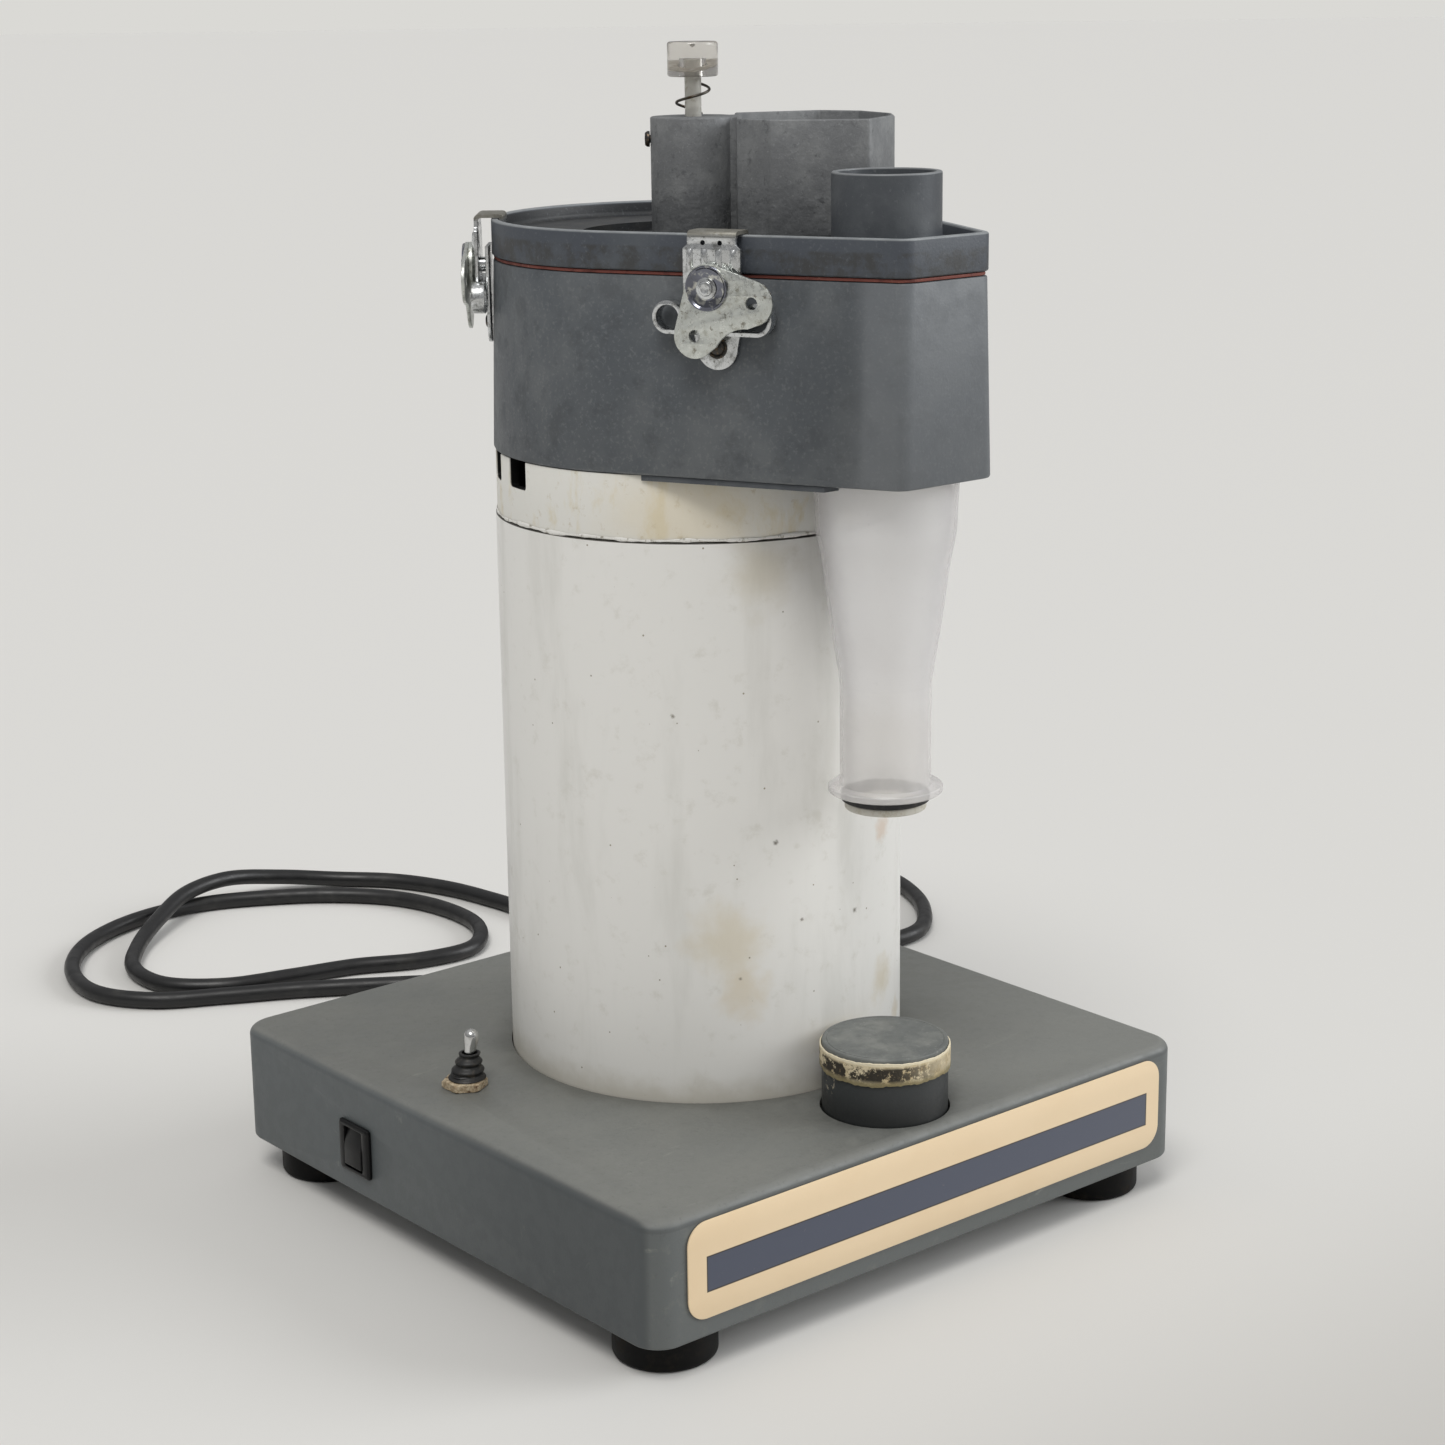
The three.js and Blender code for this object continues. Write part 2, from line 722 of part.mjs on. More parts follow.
// Rocker switch: a framed body through the side wall and a button that tips about a level pin
const bezelFace = -baseHalf - seat - bezelProud;
const bezelFlange = block(
  bezelFace + bezelProud / 2,
  rockerMiddleY,
  bezelProud,
  bezelWidth,
  rockerMiddleZ - bezelHeight / 2,
  rockerMiddleZ + bezelHeight / 2,
);
const bezelBody = block(
  bezelFace + bezelDepth / 2,
  rockerMiddleY,
  bezelDepth,
  bezelWidth - 2 * bezelLip,
  rockerMiddleZ - bezelHeight / 2 + bezelLip,
  rockerMiddleZ + bezelHeight / 2 - bezelLip,
);
const rockerHole = block(
  bezelFace + (rockerPivotDepth + rockerBack + bezelLipThickness) / 2 - overrun / 2,
  rockerMiddleY,
  rockerPivotDepth + rockerBack + bezelLipThickness + overrun,
  2 * (rockerHalfWidth + slideGap),
  rockerMiddleZ - rockerHalfHeight - 2 * slideGap,
  rockerMiddleZ + rockerHalfHeight + 2 * slideGap,
);
const rockerBezel = cut(joined(solid(bezelFlange), solid(bezelBody)), solid(rockerHole));
piece(mill, 'rocker_bezel', rockerBezel, 'blackPlastic');
const faceDrop = rockerHalfHeight * Math.tan(THREE.MathUtils.degToRad(rockerThrow / 2));
const rockerOutline = [
  [rockerApex, 0], [rockerApex - faceDrop, rockerHalfHeight], [0, rockerHalfHeight],
  [-rockerBack, rockerBackHalf], [-rockerBack, -rockerBackHalf], [0, -rockerHalfHeight],
  [rockerApex - faceDrop, -rockerHalfHeight],
];
const rockerButton = standing(prism(rockerOutline, -rockerHalfWidth, rockerHalfWidth))
  .rotateZ(Math.PI)
  .rotateY(THREE.MathUtils.degToRad(rockerThrow / 2))
  .translate(bezelFace + rockerPivotDepth, rockerMiddleY, rockerMiddleZ);
piece(mill, 'rocker_button', solid(rockerButton), 'blackPlastic');

// Toggle switch: body under the top, threaded bushing through it, nut, rubber boot and lever
const togglePivotZ = baseTop - togglePivotDepth;
const bushingTop = baseTop + bushingProud;
const toggleBodyTop = baseTop - baseWall - seat;
const toggleCase = block(
  toggleX, toggleY, toggleBodyWidth, toggleBodyLength, toggleBodyTop - toggleBodyDepth, toggleBodyTop,
);
const toggleBar = (radius, low, high, sides = smallSides) => bar(radius, low, high, sides, toggleX, toggleY);
const toggleCavityLow = toggleBodyTop - toggleCavityDepth;
const toggleBody = cut(
  joined(solid(toggleCase), solid(toggleBar(bushingRadius, toggleBodyTop - seat, bushingTop))),
  solid(toggleBar(bushingMouthRadius, toggleCavityLow, bushingTop + overrun)),
  solid(toggleBar(toggleCavityRadius, toggleCavityLow, toggleBodyTop - seat)),
);
piece(mill, 'toggle_body', toggleBody, 'blackPlastic');
const nutLow = baseTop + seat;
const nutHigh = nutLow + toggleNutHeight;
const toggleNut = cut(
  solid(toggleBar(toggleNutRadius, nutLow, nutHigh, nutSides)),
  solid(toggleBar(bushingRadius + slideGap, nutLow - overrun, nutHigh + overrun)),
);
piece(mill, 'toggle_nut', toggleNut, 'zinc');
const leverProfile = [
  [0, -leverTail], [leverNeckRadius, -leverTail], [leverNeckRadius, leverLength / 2],
  [leverTipRadius, leverLength - 2 * leverTipRadius], [leverTipRadius, leverLength - leverTipRadius],
  [leverTipRadius * Math.cos(Math.PI / 4), leverLength - leverTipRadius * (1 - Math.sin(Math.PI / 4))],
  [0, leverLength],
];
const leanTurn = THREE.MathUtils.degToRad(toggleLean);
const toggleLever = turned(leverProfile, smallSides)
  .rotateY(leanTurn)
  .translate(toggleX, toggleY, togglePivotZ);
piece(mill, 'toggle_lever', solid(toggleLever), 'zinc');
const bootLow = nutHigh + seat;
function bootRings(radiusAt, low, high, steps) {
  return Array.from({ length: steps + 1 }, (_, step) => {
    const share = step / steps;
    const level = low + (high - low) * share;
    const lean = (level - togglePivotZ) * Math.tan(leanTurn);
    const radius = radiusAt(share, step);
    return Array.from({ length: smallSides }, (_side, side) => {
      const turn = (2 * Math.PI * side) / smallSides;
      const x = toggleX + lean + radius * Math.cos(turn);
      return new THREE.Vector3(x, toggleY + radius * Math.sin(turn), level);
    });
  });
}
const bootTaper = bootFootRadius - bootTopRadius;
const bootHigh = bootLow + bootHeight;
const bootOutside = bootRings(
  (share, step) => bootFootRadius - bootTaper * share - (step % 2) * bootRib,
  bootLow,
  bootHigh,
  2 * bootRibs,
);
const bootBore = bootRings(() => leverTipRadius + seat, bootLow - overrun, bootHigh + overrun, 1);
const bushingRoom = toggleBar(bushingRadius + slideGap, bootLow - overrun, bushingTop + slideGap);
const boot = cut(solid(skin(bootOutside)), solid(skin(bootBore)), solid(bushingRoom));
piece(mill, 'toggle_boot', boot, 'rubber');

// Guide post for the pedestal, on the bottom plate
const guideFoot = plateTop + seat;
const guideTop = pedestalTop - pedestalTopThickness - pedestalBoreEnd - pedestalTravel - seat;
const guideProfile = [
  [0, guideFoot], [guideFlangeRadius, guideFoot], [guideFlangeRadius, guideFoot + guideFlangeHeight],
  [guideRadius, guideFoot + guideFlangeHeight], [guideRadius, guideTop], [0, guideTop],
];
piece(mill, 'pedestal_guide', solid(atBottle(turned(guideProfile, mediumSides))), 'steel');

// Bottle pedestal: a capped sleeve that slides in the base top, stopped from below by its flange
const pedestalFoot = pedestalTop - pedestalSkirt;
const flangeTop = baseTop - baseWall - seat;
const pedestalInside = pedestalRadius - pedestalWall;
const pedestalCeiling = pedestalTop - pedestalTopThickness;
const guideRoom = guideRadius + slideGap;
const guideRoomTop = pedestalTop - pedestalBoreEnd;
const bossOuter = guideRoom + pedestalBossWall;
const bossLow = pedestalCeiling - pedestalBossLength;
const pedestalProfile = [
  [0, pedestalTop], [0, guideRoomTop], [guideRoom, guideRoomTop], [guideRoom, bossLow], [bossOuter, bossLow],
  [bossOuter, pedestalCeiling], [pedestalInside, pedestalCeiling], [pedestalInside, pedestalFoot],
  [pedestalRadius, pedestalFoot], [pedestalRadius, flangeTop - pedestalFlangeHeight],
  [pedestalFlangeRadius, flangeTop - pedestalFlangeHeight], [pedestalFlangeRadius, flangeTop],
  [pedestalRadius, flangeTop], [pedestalRadius, pedestalTop - pedestalEdge],
  [pedestalRadius - pedestalEdge, pedestalTop], [0, pedestalTop],
];
piece(mill, 'bottle_pedestal', solid(atBottle(turned(pedestalProfile, mediumSides))), 'basePaint');

// Worn band round the pedestal's upper edge
const bandTop = pedestalTop - bandDrop;
const band = ringWall(pedestalRadius + seat, bandRadius, bandTop - bandHeight, bandTop, mediumSides);
piece(mill, 'pedestal_band', solid(atBottle(band)), 'cream');

// Pedestal return spring round the guide, up to the ceiling of the sleeve
const pedestalSpringRadius = (pedestalInside + bossOuter) / 2;
const pedestalSpring = coilSpring(
  'pedestal_spring',
  pedestalSpringTurns,
  () => pedestalSpringRadius,
  guideFoot + guideFlangeHeight + pedestalWireRadius + seat,
  pedestalCeiling - pedestalWireRadius - seat,
  pedestalWireRadius,
);
piece(mill, 'pedestal_spring', solid(atBottle(pedestalSpring)), 'steel');

// Ring that the motor tube stands over, on the bottom plate
const tubeRingOuter = tubeRadius - tubeWall - slideGap;
const tubeRingTop = tubeBottom + tubeRingHeight;
const tubeRing = ringWall(tubeRingOuter - tubeRingWidth, tubeRingOuter, tubeBottom, tubeRingTop, largeSides);
piece(mill, 'tube_ring', solid(atAxis(tubeRing)), 'steel');

// Motor tube, and the collar above it with its cooling slots round the back
const tube = ringWall(tubeRadius - tubeWall, tubeRadius, tubeBottom, tubeTop, largeSides);
piece(mill, 'motor_tube', solid(atAxis(tube)), 'tubePlastic');
const collarRing = ringWall(collarRadius - tubeWall, collarRadius, collarBottom, collarTop, largeSides);
const vents = Array.from({ length: ventCount }, (_, vent) => {
  const turn = THREE.MathUtils.degToRad(firstVentTurn + vent * ventTurnStep);
  const reach = 2 * (tubeWall + overrun);
  const slot = block(collarRadius, 0, reach, ventWidth, collarTop - ventHeight, collarTop + overrun);
  return solid(atAxis(slot.rotateZ(turn)));
});
piece(mill, 'tube_collar', cut(solid(atAxis(collarRing)), ...vents), 'tubePlastic');

// Head body: a drafted teardrop casting with the grinding chamber, the cyclone's bore and the air way
const headBottomNose = noseY - noseDraft;
const headOuter = skin([
  lifted(teardrop(headBottomRadius, headBottomNose), headBottom),
  lifted(teardrop(headTopRadius, noseY), headTop),
]);
const plateRadius = headTopRadius - headWall;
const plateNose = noseY + headWall;
const plateRecess = prism(teardrop(plateRadius, plateNose), headBottom - overrun, headLedgeLevel);
const hollowRadius = plateRadius - headLedge;
const hollowNose = plateNose + headLedge;
const underHollow = prism(teardrop(hollowRadius, hollowNose), headBottom - overrun, deckBottom);
const boreRadius = cycloneRadius + slideGap;
const bossRadius = boreRadius + headLedge;
const boreBoss = atBottle(bar(bossRadius, headLedgeLevel, deckBottom + seat));
const flangeLevel = headTop - cycloneFlangeThickness - seat;
const chamberDepth = headTop - chamberFloor;
const inletLow = chamberFloor + inletFloorRise;
const inletHeight = chamberDepth - inletFloorRise - inletTopMargin;
const inletLeft = axisX - boreRadius + inletOffset;
const inletEnd = overrun - chamberRadius;
const inlet = block(
  inletLeft + inletWidth / 2,
  (bottleAxisY + inletEnd) / 2,
  inletWidth,
  inletEnd - bottleAxisY,
  inletLow,
  inletLow + inletHeight,
);
const headBody = cut(
  joined(cut(solid(headOuter), solid(plateRecess), solid(underHollow)), solid(boreBoss)),
  solid(atAxis(bar(chamberRadius, chamberFloor, headTop + overrun, largeSides))),
  solid(atAxis(bar(deckHoleRadius, deckBottom - overrun, chamberFloor + overrun, smallSides))),
  solid(atBottle(bar(boreRadius, headBottom - overrun, headTop + overrun))),
  solid(atBottle(bar(cycloneFlangeRadius + slideGap, flangeLevel, headTop + overrun))),
  solid(inlet),
);
piece(mill, 'head_body', headBody, 'casting');

// Motor plate: closes the head from below and carries the motor and the upper bearing
const bearingTop = motorPlateTop - seat;
const bearingLow = bearingTop - bearingWidth;
const housingLow = bearingLow - seat - bearingFloor;
const plateOutline = teardrop(plateRadius - slideGap, plateNose + slideGap);
const plateEnd = block(
  axisX,
  2 * bottleAxisY,
  2 * headTopRadius,
  2 * bottleReach,
  motorPlateBottom - overrun,
  motorPlateTop + overrun,
);
const motorPlate = cut(
  joined(
    solid(prism(plateOutline, motorPlateBottom, motorPlateTop)),
    solid(atAxis(bar(bearingRadius + slideGap + bearingHousingWall, housingLow, motorPlateBottom + seat))),
  ),
  solid(atAxis(bar(bearingRadius + slideGap, bearingLow - seat, motorPlateTop + overrun))),
  solid(atAxis(bar(shaftRadius + 2 * slideGap, housingLow - overrun, motorPlateTop + overrun, smallSides))),
  solid(atBottle(bar(bossRadius + slideGap, motorPlateBottom - overrun, motorPlateTop + overrun))),
  solid(plateEnd),
);
piece(mill, 'motor_plate', motorPlate, 'casting');
const bearingBore = shaftRadius + seat;
const upperBearing = ringWall(bearingBore, bearingRadius, bearingLow, bearingTop, mediumSides);
piece(mill, 'upper_bearing', solid(atAxis(upperBearing)), 'steel');

// Motor can hung under the plate, with the lower bearing in its floor
const canTop = motorPlateBottom - seat;
const canBottom = canTop - canLength;
const canFloorTop = canBottom + canFloor;
const lowerBearingLow = canBottom + bearingFloor;
const lowerBearingTop = lowerBearingLow + bearingWidth;
const canBossTop = lowerBearingTop - seat;
const canBody = cut(
  joined(
    solid(atAxis(ringWall(canRadius - canWall, canRadius, canBottom, canTop, largeSides))),
    solid(atAxis(bar(canRadius - canWall + seat, canBottom, canFloorTop, largeSides))),
    solid(atAxis(bar(bearingRadius + slideGap + bearingHousingWall, canBottom, canBossTop))),
  ),
  solid(atAxis(bar(bearingRadius + slideGap, lowerBearingLow - seat, canTop))),
  solid(atAxis(bar(shaftRadius + 2 * slideGap, canBottom - overrun, canTop, smallSides))),
);
piece(mill, 'motor_can', canBody, 'steel');
const lowerBearing = ringWall(bearingBore, bearingRadius, lowerBearingLow, lowerBearingTop, mediumSides);
piece(mill, 'lower_bearing', solid(atAxis(lowerBearing)), 'steel');
const statorLow = canFloorTop + statorRise;
const statorTop = statorLow + statorLength;
const stator = ringWall(statorInner, canRadius - canWall - seat, statorLow, statorTop, largeSides);
piece(mill, 'motor_stator', solid(atAxis(stator)), 'copper');

// Rotating group: shaft, armature with its commutator, cooling fan, impeller and its nut
const discLow = chamberFloor + impellerLift;
const vaneHeight = chamberDepth - impellerLift - impellerDisc - vaneTopGap;
const impellerHubHeight = impellerDisc + vaneHeight - impellerHubDrop;
const hubTop = discLow + impellerHubHeight;
const nutTop = hubTop + seat + impellerNutHeight;
const shaftTop = nutTop + threadProud;
const shaftLow = canBottom - shaftTail;
const shaftProfile = [
  [0, shaftLow], [shaftRadius, shaftLow], [shaftRadius, hubTop - seat], [threadRadius, hubTop - seat],
  [threadRadius, shaftTop], [0, shaftTop],
];
piece(mill, 'motor_shaft', solid(atAxis(turned(shaftProfile, smallSides))), 'steel');
const armatureLow = statorLow - armatureOverhang;
const armatureTop = statorTop + armatureOverhang;
const armatureProfile = [
  [bearingBore, armatureLow], [armatureRadius, armatureLow], [armatureRadius, armatureTop],
  [commutatorRadius, armatureTop], [commutatorRadius, armatureTop + commutatorLength],
  [bearingBore, armatureTop + commutatorLength], [bearingBore, armatureLow],
];
piece(mill, 'motor_armature', solid(atAxis(turned(armatureProfile, mediumSides))), 'copper');
function bladedDisc(low, disc, hub, blades) {
  const high = low + disc.thickness + blades.height;
  const arms = Array.from({ length: blades.count }, (_, blade) => {
    const middle = (disc.radius + hub.radius - seat) / 2;
    const arm = block(middle, 0, disc.radius - hub.radius + seat, blades.thickness, low, high);
    return solid(atAxis(arm.rotateZ((2 * Math.PI * blade) / blades.count)));
  });
  return cut(
    joined(
      solid(atAxis(bar(disc.radius + seat, low, low + disc.thickness, largeSides))),
      solid(atAxis(bar(hub.radius, low, low + hub.height))),
      ...arms,
    ),
    solid(atAxis(bar(bearingBore, low - overrun, low + hub.height + overrun, smallSides))),
  );
}
const coolingFan = bladedDisc(
  canFloorTop + fanRise,
  { radius: fanRadius, thickness: fanThickness },
  { radius: fanHubRadius, height: fanHubHeight },
  { count: fanBlades, thickness: fanBladeThickness, height: fanBladeHeight },
);
piece(mill, 'cooling_fan', coolingFan, 'blackPlastic');
const impeller = bladedDisc(
  discLow,
  { radius: impellerRadius, thickness: impellerDisc },
  { radius: impellerHub, height: impellerHubHeight },
  { count: vaneCount, thickness: vaneThickness, height: vaneHeight },
);
piece(mill, 'impeller', impeller, 'steel');
const impellerNut = cut(
  solid(atAxis(bar(impellerNutRadius, hubTop + seat, nutTop, nutSides))),
  solid(atAxis(bar(threadRadius + seat, hubTop - overrun, nutTop + overrun, smallSides))),
);
piece(mill, 'impeller_nut', impellerNut, 'zinc');

// Grinding ring, open towards the cyclone, and the slotted screen that closes the gap
const ringLow = chamberFloor + seat;
const ringTop = headTop - seat;
const ringOuterRadius = chamberRadius - slideGap;
const gapHalf = THREE.MathUtils.degToRad(grindingGapAngle / 2);
function sector(inner, outer, from, to, steps) {
  const arc = (radius, start, end) => Array.from({ length: steps + 1 }, (_, step) => {
    const turn = start + ((end - start) * step) / steps;
    return [axisX + radius * Math.cos(turn), radius * Math.sin(turn)];
  });
  return [...arc(outer, from, to), ...arc(inner, to, from)];
}
const gapMiddle = -Math.PI / 2;
const ringOutline = sector(
  grindingRingInner, ringOuterRadius, gapMiddle + gapHalf, gapMiddle + 2 * Math.PI - gapHalf, mediumSides,
);
piece(mill, 'grinding_ring', solid(prism(ringOutline, ringLow, ringTop)), 'abrasive');
const edgeTurn = (seat + slideGap) / ringOuterRadius;
const screenInner = ringOuterRadius - screenThickness;
const screenStart = gapMiddle - gapHalf + edgeTurn;
const screenEnd = gapMiddle + gapHalf - edgeTurn;
const screenOutline = sector(screenInner, ringOuterRadius, screenStart, screenEnd, 2 * cornerSteps);
const screenCuts = Array.from({ length: screenSlots }, (_, slot) => {
  const share = (slot + 1) / (screenSlots + 1);
  const turn = gapMiddle - gapHalf + 2 * gapHalf * share;
  const opening = block(
    ringOuterRadius, 0, 2 * overrun, screenSlotWidth, ringLow + screenMargin, ringTop - screenMargin,
  );
  return solid(atAxis(opening.rotateZ(turn)));
});
piece(mill, 'screen', cut(solid(prism(screenOutline, ringLow, ringTop)), ...screenCuts), 'steel');

// Gasket under the lid
const gasketSheet = cut(
  solid(prism(teardrop(headTopRadius - gasketInset, noseY + gasketInset), gasketBottom, gasketTop)),
  solid(atAxis(bar(grindingRingInner, gasketBottom - overrun, gasketTop + overrun, largeSides))),
  solid(atBottle(bar(outletRadius + slideGap, gasketBottom - overrun, gasketTop + overrun))),
);
piece(mill, 'head_gasket', gasketSheet, 'silicone');

// Lid: a tray with an upright rim, a round recess under the hopper, and the feed and outlet holes
const trayRadius = lidRadius - lidRim;
const trayOutline = teardrop(trayRadius, lidNoseY + lidRim, noseCorner - lidRim);
const lid = cut(
  solid(prism(teardrop(lidRadius, lidNoseY), lidBottom, rimTop)),
  solid(prism(trayOutline, lidFloorTop, rimTop + overrun)),
  solid(atAxis(bar(lidRecessRadius, recessTop, rimTop, largeSides))),
  solid(atAxis(bar(feedHoleRadius, lidBottom - overrun, rimTop, smallSides))),
  solid(atBottle(bar(outletRadius + slideGap, lidBottom - overrun, rimTop))),
);
piece(mill, 'head_lid', lid, 'casting');

// Air outlet tube: stands on the lid by a flange and reaches down into the cyclone as its vortex finder
const outletTop = rimTop + outletRise;
const outletFlangeLow = lidFloorTop + seat;
const outletFlangeTop = outletFlangeLow + outletFlangeThickness;
const finderLow = gasketBottom - finderDrop;
const outletProfile = [
  [finderRadius, finderLow], [finderRadius, gasketBottom], [outletRadius, gasketBottom],
  [outletRadius, outletFlangeLow], [outletFlangeRadius, outletFlangeLow],
  [outletFlangeRadius, outletFlangeTop], [outletRadius, outletFlangeTop], [outletRadius, outletTop],
  [outletRadius - outletWall, outletTop], [outletRadius - outletWall, gasketTop],
  [finderRadius - finderWall, gasketTop - finderWall], [finderRadius - finderWall, finderLow],
  [finderRadius, finderLow],
];
piece(mill, 'outlet_tube', solid(atBottle(turned(outletProfile, mediumSides))), 'casting');

// Cyclone: flange in the head's counterbore, barrel, cone, neck and foot, open from top to bottom
const cycloneFlangeLow = flangeLevel + seat;
const barrelLow = headBottom - cycloneBarrelDrop;
const coneLow = barrelLow - coneHeight;
const neckLow = coneLow - neckLength;
const footLow = neckLow - cycloneFootThickness;
const coneSpan = cycloneRadius - neckRadius;
const coneOutside = coneShares.map(
  ([radial, level]) => [neckRadius + coneSpan * radial, coneLow + coneHeight * level],
);
const coneInside = coneOutside.map(([radius, level]) => [radius - cycloneWall, level]).reverse();
const cycloneProfile = [
  [cycloneFlangeRadius, headTop], [cycloneFlangeRadius, cycloneFlangeLow], [cycloneRadius, cycloneFlangeLow],
  [cycloneRadius, barrelLow], ...coneOutside, [neckRadius, coneLow], [neckRadius, neckLow],
  [cycloneFootRadius, neckLow], [cycloneFootRadius, footLow], [neckRadius - cycloneWall, footLow],
  [neckRadius - cycloneWall, coneLow], ...coneInside, [cycloneRadius - cycloneWall, barrelLow],
  [cycloneRadius - cycloneWall, headTop], [cycloneFlangeRadius, headTop],
];
const cyclone = cut(solid(atBottle(turned(cycloneProfile, mediumSides))), solid(inlet));
piece(mill, 'cyclone', cyclone, 'clear');
const bottleGasketTop = footLow - seat;
const bottleGasketLow = bottleGasketTop - bottleGasketThickness;
const bottleGasket = ringWall(bottleRingBore, bottleGasketRadius, bottleGasketLow, bottleGasketTop);
piece(mill, 'cyclone_gasket', solid(atBottle(bottleGasket)), 'rubber');
const bottleRingTop = bottleGasketLow - seat;
const bottleRingLow = bottleRingTop - bottleRingThickness;
const bottleRing = ringWall(bottleRingBore, bottleRingRadius, bottleRingLow, bottleRingTop);
piece(mill, 'cyclone_ring', solid(atBottle(bottleRing)), 'cream');

// Feed hopper: a round column over the feed hole, webs that touch it, and a faceted bin whose floor slopes
// down to the throat
const turnHopper = (geometry) => atAxis(geometry.rotateZ(THREE.MathUtils.degToRad(hopperTurn)));
const binNear = columnRadius - hopperOverlap;
const hopperOutline = hopperOutlineShares.map(
  ([along, across]) => [binNear + (hopperLength - binNear) * along, hopperHalfWidth * across],
);
function touch([x, y], side) {
  const turn = Math.atan2(y, x) + side * Math.acos((columnRadius - seat) / Math.hypot(x, y));
  return [(columnRadius - seat) * Math.cos(turn), (columnRadius - seat) * Math.sin(turn)];
}
const nearFront = hopperOutline[0];
const nearBack = hopperOutline[hopperOutline.length - 1];
const hopperWeb = [touch(nearFront, -1), nearFront, nearBack, touch(nearBack, 1)];
const centre = hopperOutline
  .reduce(([x, y], point) => [x + point[0], y + point[1]], [0, 0])
  .map((sum) => sum / hopperOutline.length);
const wallShare = 1 - hopperWall / hopperHalfWidth;
const binMouth = hopperOutline.map(([x, y]) => [
  centre[0] + (x - centre[0]) * wallShare, centre[1] + (y - centre[1]) * wallShare,
]);
const binHollowLow = hopperBottom + hopperFloorRise;
const mouthLength = (hopperLength - binNear) * wallShare;
const mouthNear = centre[0] + (binNear - centre[0]) * wallShare;
const binFoot = binMouth.map(([x, y]) => [
  mouthNear + (throatLength * (x - mouthNear)) / mouthLength,
  THREE.MathUtils.clamp(y, -throatHalfWidth, throatHalfWidth),
]);
const binHollow = skin([
  lifted(binFoot, binHollowLow),
  lifted(binMouth, hopperTop - hopperStraight),
  lifted(binMouth, hopperTop + overrun),
]);
const throat = block(
  (mouthNear + hopperWall) / 2,
  0,
  mouthNear + hopperWall,
  2 * throatHalfWidth,
  binHollowLow,
  binHollowLow + throatHeight,
);
const spigotLow = recessTop + seat;
const hopperSolid = joined(
  solid(turnHopper(prism(hopperOutline, spigotLow, hopperTop))),
  solid(turnHopper(prism(hopperWeb, spigotLow, hopperTop))),
  solid(turnHopper(bar(columnRadius, spigotLow, hopperTop))),
);
const spigotRadius = lidRecessRadius - slideGap;
const hopperRoom = joined(
  solid(atAxis(bar(spigotRadius, spigotLow - overrun, hopperBottom + seat, largeSides))),
  solid(atAxis(bar(trayRadius - slideGap, hopperBottom, rimTop + 2 * seat, largeSides))),
  solid(atAxis(bar(2 * hopperLength, rimTop + seat, hopperTop + overrun))),
);
const stemBore = stemRadius + slideGap;
const boreBottom = hopperTop - plungerBoreLength;
const screwLevel = hopperTop - screwDrop;
const layScrew = (geometry) => turnHopper(
  geometry.rotateY(-Math.PI / 2).translate(-columnRadius, 0, screwLevel),
);
const screwHole = bar(screwShankRadius + seat, -screwShankLength - seat, columnRadius, smallSides);
const hopper = cut(
  hopperSolid.intersect(hopperRoom),
  solid(turnHopper(binHollow)),
  solid(turnHopper(throat)),
  solid(atAxis(bar(feedBoreRadius, spigotLow - overrun, boreBottom, smallSides))),
  solid(atAxis(bar(stemBore, boreBottom - overrun, hopperTop + overrun, smallSides))),
  solid(layScrew(screwHole)),
);
piece(mill, 'feed_hopper', hopper, 'hopperMetal');
const screwTop = seat + screwHeadHeight;
const screwProfile = [
  [0, -screwShankLength], [screwShankRadius, -screwShankLength], [screwShankRadius, seat],
  [screwHeadRadius, seat], [screwHeadRadius - screwHeadEdge, screwTop], [0, screwTop],
];
const screwBody = turned(screwProfile, smallSides);
const slotLength = 2 * screwHeadRadius + overrun;
const screwSlot = block(0, 0, slotLength, screwSlotWidth, screwTop - screwSlotDepth, screwTop + overrun);
piece(mill, 'hopper_screw', cut(solid(layScrew(screwBody)), solid(layScrew(screwSlot))), 'steel');

// Feed plunger: clear knob on a stem through the column, with a foot that pushes the feed down
const knobLow = hopperTop + knobGap;
const knobTop = knobLow + knobHeight;
const stemTop = knobTop - knobHeight / 2;
const stemHole = stemRadius + seat;
const knobProfile = [
  [stemHole, knobLow], [knobRadius, knobLow], [knobRadius, knobTop - knobEdge],
  [knobRadius - knobEdge, knobTop], [0, knobTop], [0, stemTop + seat], [stemHole, stemTop + seat],
  [stemHole, knobLow],
];
piece(mill, 'feed_knob', solid(atAxis(turned(knobProfile))), 'clear');
const plungerFootTop = boreBottom - seat;
const plungerFootLow = plungerFootTop - plungerFootHeight;
const stem = bar(stemRadius, plungerFootLow + seat, stemTop, smallSides);
piece(mill, 'feed_stem', solid(atAxis(stem)), 'clear');
const footCup = [
  [0, plungerFootLow - plungerFootHeight / 2], [plungerFootRadius, plungerFootLow],
  [plungerFootRadius, plungerFootTop], [stemHole, plungerFootTop], [stemHole, plungerFootLow],
  [0, plungerFootLow],
];
piece(mill, 'plunger_foot', solid(atAxis(turned(footCup, smallSides))), 'clear');
const bulge = (share) => feedSpringEndShare + (1 - feedSpringEndShare) * Math.sin(Math.PI * share);
const feedSpring = coilSpring(
  'feed_spring',
  feedSpringTurns,
  (share) => feedSpringRadius * bulge(share),
  hopperTop + seat + feedWireRadius,
  knobLow - seat - feedWireRadius,
  feedWireRadius,
);
piece(mill, 'feed_spring', solid(atAxis(feedSpring)), 'steel');

